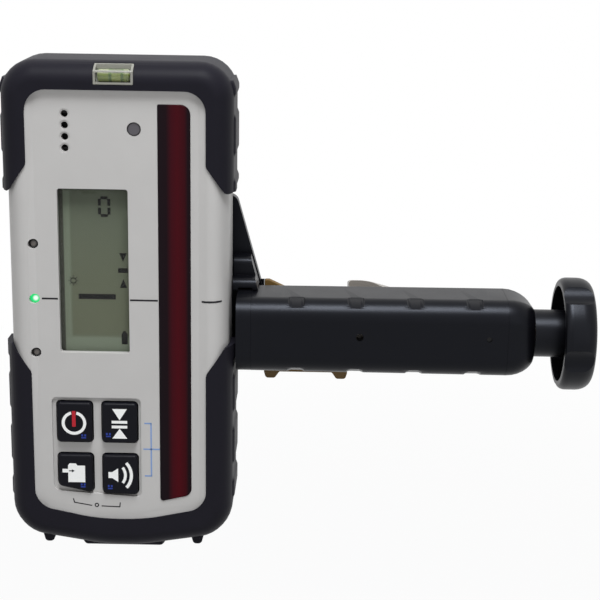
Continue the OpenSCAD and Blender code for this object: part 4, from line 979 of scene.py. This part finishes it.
carve(
    bracket_frame,
    axial(9.1, end_left + 1, 0),
    rod(7.05, -30, 0, screw_x, screw_z, "Y", CLAMP),
    *[rod(2.2, -20, 0, grip_axis, z, "X", CLAMP, 24) for z in (-grip_screw_z, grip_screw_z)],
    *[rod(3.6, -20, end_left + 1.6, grip_axis, z, "X", CLAMP, 32) for z in (-grip_screw_z, grip_screw_z)],
)
ease(bracket_frame, 0.4, steps=3)
# Bluish tint on the reflections of the black nylon: painted colour of the light that it reflects.
painted_sky_tint = (0.82, 0.87, 1, 1)
clamp_black = moulded(
    "bracket_black", "#050508", "#09090d", 0.33, grain=0.3, depth=0.006,
    Specular_IOR_Level=0.15, Specular_Tint=painted_sky_tint)
dress(bracket_frame, clamp_black, "bracket_black", "bracket_frame")

# Grip handle: a hollow square tube of the same black nylon, fixed to the end wall by two screws.
# It swells a little towards the knob, with finger dimples along its front edges and a jaw slot behind.
grip_start, grip_end = -3.2, 77.6
end_spare = 1
corner_turns = 16
grip_handle = on_clamp(
    "handle_moulding", grip_section(grip_low_half), grip_start - end_spare, grip_end + end_spare, "X",
    turns=corner_turns)


def widen_end(station, share):
    """Scales the part of a piece at one station along the clamp's axis in height."""
    bpy.ops.object.mode_set(mode="EDIT")
    pick("VERT", lambda v: abs(v.co.x - station * MM) < HAIR)
    bpy.ops.transform.resize(value=(1, 1, share), center_override=(0, grip_axis * MM, 0))
    bpy.ops.object.mode_set(mode="OBJECT")


widen_end(grip_end + end_spare, grip_swell)
dimple_floor, dimple_slope = 2.2, 0.42
dimple_front, dimple_back, dimple_at = -45, -27, -37.9


def dimple(x, side):
    """A wedge-shaped trough that bites into the front edge and runs out on the top or bottom face."""
    grown = (x - grip_start) / (grip_end - grip_start) * (grip_high_half - grip_low_half)
    low = grip_low_half + grown - dimple_floor + dimple_slope * (dimple_front - dimple_at)
    outline = [(x - 2.2, side * low, 1.6), (x + 2.2, side * low, 1.6), (x + 5.2, side * (low + 4), 0),
               (x + 7, side * (low + 9), 0), (x - 7, side * (low + 9), 0), (x - 5.2, side * (low + 4), 0)]
    tool = on_clamp("dimple", outline, dimple_front, dimple_back)
    bpy.ops.object.mode_set(mode="EDIT")
    pick("VERT", lambda v: v.co.y > (dimple_back - 1) * MM)
    bpy.ops.transform.translate(value=(0, 0, side * dimple_slope * (dimple_back - dimple_front) * MM))
    bpy.ops.object.mode_set(mode="OBJECT")
    return tool


dimple_first, dimple_step, dimple_count = 11.1, 18.7, 4
dimple_loops = (-5.6, -4.4, 4.4, 5.6)
dimple_places = [dimple_first + i * dimple_step for i in range(dimple_count)]
bpy.ops.object.select_all(action="DESELECT")
bpy.context.view_layer.objects.active = grip_handle
bpy.ops.object.mode_set(mode="EDIT")
for station in [x + offset for x in dimple_places for offset in dimple_loops]:
    bpy.ops.mesh.select_all(action="SELECT")
    bpy.ops.mesh.bisect(plane_co=(station * MM, 0, 0), plane_no=(1, 0, 0))
bpy.ops.object.mode_set(mode="OBJECT")
carve(grip_handle, *[dimple(x, side) for x in dimple_places for side in (-1, 1)])
bore_half, bore_front, bore_back = 8.5, -36, -17.6
pin_hole_x, cap_screw_x, hole_z = 31.1, 71.75, 0.9
bore_edges = box(bore_front, bore_back, -bore_half, bore_half, 0.4)
carve(
    grip_handle,
    on_clamp("bore", bore_edges, grip_start - 5, grip_end + 5, "X"),
    on_clamp("slot", box(6, 67.75, -4, 4, 0.6), bore_back - 1, 0),
    rod(2.4, -50, grip_axis, pin_hole_x, hole_z, "Y", CLAMP, 32),
    rod(1.7, -50, grip_axis, cap_screw_x, hole_z, "Y", CLAMP, 32),
    *[rod(2.1, -20, 7.8, grip_axis, z, "X", CLAMP, 24) for z in (-grip_screw_z, grip_screw_z)],
)
ease(grip_handle, 0.3, steps=3)
square_end = box(-60, 10, -30, 30)
carve(
    grip_handle,
    on_clamp("end", square_end, grip_start - 2 * end_spare, grip_start, "X"),
    on_clamp("end", square_end, grip_end, grip_end + 2 * end_spare, "X"),
)
dress(grip_handle, clamp_black, "bracket_black", "grip_handle")
# Grip end cap: the domed black plug that closes the handle and holds the bush of the clamp screw.
# Moulded like the handle, pushed into it by a square spigot and kept there by one small screw.
cap_start, cap_stop = 77.65, 86.6
neck_half = 7.7
cap_rings = 7
dome_start = cap_start + 0.2
bush_hole = 12.1
grip_cap = on_clamp(
    "end_cap_moulding", grip_section(grip_low_half), cap_start - end_spare, dome_start, "X",
    turns=corner_turns)
widen_end(cap_start - end_spare, grip_swell)
widen_end(dome_start, grip_swell)
bpy.ops.object.mode_set(mode="EDIT")
pick("FACE", lambda f: f.normal.x > 0.9)
size, station = 1, dome_start
for i in range(1, cap_rings + 1):
    turn = i / cap_rings * math.pi / 2
    fullness = math.cos(turn) ** 1.4
    next_size = (neck_half + (grip_high_half - neck_half) * fullness) / grip_high_half
    next_station = dome_start + (cap_stop - dome_start) * math.sin(turn)
    shift = ((next_station - station) * MM, 0, 0)
    bpy.ops.mesh.extrude_region_move(TRANSFORM_OT_translate={"value": shift})
    middle_of_ring = (next_station * MM, grip_axis * MM, 0)
    bpy.ops.transform.resize(value=(1, next_size / size, next_size / size), center_override=middle_of_ring)
    bpy.ops.transform.tosphere(value=0.35 * i / cap_rings, center_override=middle_of_ring)
    size, station = next_size, next_station
bpy.ops.object.mode_set(mode="OBJECT")
carve(grip_cap, axial(bush_hole, 60, 100))
ease(grip_cap, 0.35, steps=3)
carve(grip_cap, on_clamp("end", square_end, cap_start - 2 * end_spare, cap_start, "X"))
spigot_edges = box(bore_front + 0.05, bore_back - 0.05, 0.05 - bore_half, bore_half - 0.05)
spigot = on_clamp("spigot", spigot_edges, 70.15, 78.5, "X", near=(0.5, 0.5))
carve(spigot, axial(bush_hole, 60, 100))
carve(grip_cap, spigot, operation="UNION")
carve(grip_cap, rod(1.7, -50, bore_front + 2.55, cap_screw_x, hole_z, "Y", CLAMP, 24))
dress(grip_cap, clamp_black, "bracket_black", "grip_cap")

# Knob: a five-lobed black hand knob on a round hub, pinned to the clamp screw.
# Moulded in satin nylon, hollow on the handle's side, with broad lobes and shallow flutes between them.
knob_left, knob_right = 94.95, 104.95
knob_width = 36
lobes, lobe_turn = 5, -3.5
hub_start, hub_width = 86.95, 15.2
knob = axial(knob_width, knob_left, knob_right, 96)
knob.name = "hand_knob"
bpy.ops.object.mode_set(mode="EDIT")
for edge, (inset, depth) in {knob_left: (1.6, 2.4), knob_right: (3, 4.5)}.items():
    pick("EDGE", lambda e: all(abs(v.co.x - edge * MM) < HAIR for v in e.verts))
    bpy.ops.mesh.bevel(offset=inset * MM, segments=6, profile=0.5, affect="EDGES", clamp_overlap=False)
    pick("VERT", lambda v: abs(v.co.x - edge * MM) < inset * MM + HAIR)
    bpy.ops.transform.resize(value=(depth / inset, 1, 1), center_override=(edge * MM, 0, 0))
bpy.ops.object.mode_set(mode="OBJECT")


def round_the_axis(radius, share):
    """A point (across, up) on a circle round the clamp screw, a share of a turn from the top."""
    return grip_axis - radius * math.sin(share * math.tau), radius * math.cos(share * math.tau)


for i in range(lobes):
    flute = rod(14, 90, 110, *round_the_axis(23.5, (i + 0.5) / lobes + lobe_turn / 360), "X", CLAMP, 64)
    carve(knob, flute)
ease(knob, 1.2, steps=4, angle=30)
dish = axial(30.6, 80, knob_left + 5, 64)
carve(dish, axial(hub_width, 70, 110, 64))
carve(knob, dish)
carve(knob, axial(hub_width, hub_start, 100, 64), operation="UNION")
carve(
    knob,
    axial(8.1, 80, 102, 48),
    axial(14.1, knob_right - 1.5, 120, 64),
)
ease(knob, 0.4, steps=3)
# The knob's reflections carry the same painted bluish tint.
knob_black = moulded(
    "knob_black", "#050508", "#08080b", 0.33, grain=0.5, depth=0.006,
    Specular_IOR_Level=0.17, Specular_Tint=painted_sky_tint)
dress(knob, knob_black, "bracket_black", "knob", body="knob")

# Moving jaw: the jaw whose carriage runs in the handle and comes out through its slot.
# Glass-filled nylon like the frame, with a rounded hump behind the handle; its grey-brown is painted sheen.
jaw_left, jaw_flat, jaw_right, jaw_tail = 28, 34.6, 45.6, 7.5
moving_jaw = on_clamp("moving_jaw_moulding", [
    (jaw_left, -jaw_half, 1.2), (jaw_flat, -jaw_half, 12), (jaw_right, -jaw_tail, 1.5),
    (jaw_right, jaw_tail, 1.5), (jaw_flat, jaw_half, 12), (jaw_left, jaw_half, 1.2)], -jaw_reach, jaw_reach)
bpy.ops.object.mode_set(mode="EDIT")
pick("VERT", lambda v: v.co.y > 0)
bpy.ops.transform.resize(value=(1, 1, jaw_tip_half / jaw_half), center_override=(0, 0, 0))
bpy.ops.object.mode_set(mode="OBJECT")
play = 0.35
carriage_left, carriage_right = 29, 45
neck_edges = box(carriage_left, carriage_right, -3.65, 3.65)
neck = on_clamp("neck", neck_edges, bore_back - 2, -jaw_reach + 1)
carriage_edges = box(bore_front + play, bore_back - play, play - bore_half, bore_half - play)
carriage = on_clamp("carriage", carriage_edges, carriage_left, carriage_right, "X")
carve(moving_jaw, neck, carriage, operation="UNION")
carve(
    moving_jaw,
    axial(14.1, 30.95, 60, 48),
    axial(9, 0, 60, 48),
)
ease(moving_jaw, 0.6, steps=3)
# Light grey-brown all over: painted sheen of the lit hump.
jaw_taupe = moulded("jaw_taupe", "#969089", "#847e77", 0.4, grain=0.3, depth=0.015)
dress(moving_jaw, jaw_taupe, "jaw_taupe", "moving_jaw", body="moving_jaw")

# Rod pads: two tan rubber strips glued to the handle's back beside the slot, for the rod to lie on.
# Cut from moulded strip; the ends have short nubs that stand out above and below the handle.
pad_left, pad_right = 0.3, 28
pad_front, pad_back = -13.95, -11.4
upper_pad = on_clamp("upper_pad_strip", [
    (pad_left, 4.6, 0.5), (pad_right, 4.6, 0.5), (pad_right, 9.8, 0.6), (8.3, 9.8, 6), (1.8, 12.8, 0.7),
    (pad_left, 12.8, 0.5)], pad_front, pad_back)
lower_pad = on_clamp("lower_pad_strip", [
    (pad_left, -18.8, 0), (0.9, -20.8, 1), (3.9, -20.8, 1), (5.4, -18.6, 0.6), (22.9, -18.6, 0.6),
    (24.4, -20.8, 1), (27.4, -20.8, 1), (pad_right, -18.8, 0), (pad_right, -4.6, 0.5),
    (pad_left, -4.6, 0.5)], pad_front, pad_back)
pad_tan = moulded("pad_tan", "#6b4f1c", "#5c4517", 0.6, grain=0.4, depth=0.03)
for strip, node in ((upper_pad, "upper_rod_pad"), (lower_pad, "lower_rod_pad")):
    ease(strip, 0.3)
    dress(strip, pad_tan, "pad_tan", node)

# Bracket thumb screw: the quarter-inch screw that holds the plate to the casing, with a fluted black head.
# Steel thread, nylon head moulded over it.
head_front, head_back = -8.6, -0.6
thumb_screw = rod(21, head_front, head_back, screw_x, screw_z, "Y", CLAMP, 96)
thumb_screw.name = "bracket_thumb_screw"
flutes, flute_circle = 8, 11.5
for i in range(flutes):
    turn = (i / flutes + 0.25) * math.tau
    flute_x, flute_z = screw_x + flute_circle * math.cos(turn), screw_z + flute_circle * math.sin(turn)
    carve(thumb_screw, rod(4.2, -20, 10, flute_x, flute_z, "Y", CLAMP, 32))
carve(thumb_screw, rod(13, head_back - 1, 10, screw_x, screw_z, "Y", CLAMP, 64))
ease(thumb_screw, 0.8, steps=3)
carve(thumb_screw, rod(6.35, -20, head_front + 1, screw_x, screw_z, "Y", CLAMP, 32), operation="UNION")
dress(thumb_screw, clamp_black, "bracket_black", "bracket_screw", body="bracket_screw")
# Inner pieces: what the casing and the handle hold, kept as built and given the finish of each material.
# Boards, cells, contacts, screws, bushes and the clamp screw, most of them hidden when the part is closed.


def metal(name, colour, shade, roughness, scratch):
    """Turned or plated metal: fine scratches along X and a few dull patches."""
    finish = Finish(name, Metallic=1.0)
    drawn_out = finish.node("Mapping", Vector=finish.place, Scale=(0.15, 1, 1))
    lines = finish.node("TexNoise", Vector=drawn_out, Scale=1 / (scratch * MM), Detail=3)
    dull = finish.noise(4, 3)
    finish.set(Base_Color=finish.mix(lines * 0.6 + dull * 0.4, tint(colour), tint(shade)))
    finish.set(Roughness=roughness - 0.08 + lines * 0.1 + dull * 0.08)
    finish.relief(lines, 0.004)
    return finish.material


def circuit(name):
    """Solder mask over copper: raised traces on a square grid, lighter than the ground."""
    finish = Finish(name, Roughness=0.35)
    bricks = finish.node(
        "TexBrick", Vector=finish.place, Scale=220, Mortar_Size=0.03, i1=white(0), i2=white(0), i3=white(1))
    traces = finish.node("RGBToBW", Color=bricks)
    raised = traces * 0.6 + finish.noise(3, 2) * 0.2
    finish.set(Base_Color=finish.mix(raised, tint("#0d4a2c"), tint("#2a7a4c")))
    finish.relief(traces, 0.03)
    return finish.material


def wrapped_cell(name):
    """A cell's plain wrap: a copper-coloured band at one end and black on the rest, with a faint gloss."""
    finish = Finish(name, Coat_Weight=0.4)
    run = finish.node("SeparateXYZ", Vector=finish.place)
    band = fade(finish, run, RECEIVER.x + 8 * MM, RECEIVER.x + 8.4 * MM)
    wrap = finish.mix(band, tint("#1b1b1f"), tint("#b07a3c"))
    finish.set(Base_Color=finish.mix(finish.noise(5, 3) * 0.15, wrap, tint("#4a4038")))
    finish.set(Roughness=0.25 + finish.noise(3, 2) * 0.1)
    return finish.material


zinc = metal("steel", "#c2c2c6", "#98989e", 0.35, 0.3)
turned_brass = metal("brass", "#c9a35a", "#a57f3c", 0.32, 0.25)
dark_steel = metal("black_oxide", "#101013", "#1a1a1e", 0.4, 0.3)
inner_black = moulded(
    "black_plastic", "#0e0e10", "#161618", 0.45, grain=0.4, depth=0.01, Specular_IOR_Level=0.25)
seal_black = moulded(
    "seal_rubber", "#0c0c0d", "#131314", 0.7, grain=0.5, depth=0.02, Specular_IOR_Level=0.2)
board_green = circuit("board")
cell_wrap = wrapped_cell("cell")
kept_finishes = {
    zinc: ["case_screws", "board_screws", "battery_contacts", "door_pin", "grip_screws", "thrust_washer",
           "retaining_ring", "clamp_spindle"],
    turned_brass: ["mount_insert", "jaw_nut", "spindle_bush"],
    dark_steel: ["knob_pin"],
    inner_black: ["lcd_holder", "buzzer", "photodiodes", "nose_bush", "cap_screw"],
    knob_black: ["knob_cap"],
    seal_black: ["housing_seal", "keypad_mat"],
    board_green: ["main_board", "sensor_board"],
    cell_wrap: ["battery_cells"],
}
for finish, names in kept_finishes.items():
    for name in names:
        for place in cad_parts[name].material_slots:
            place.material = finish
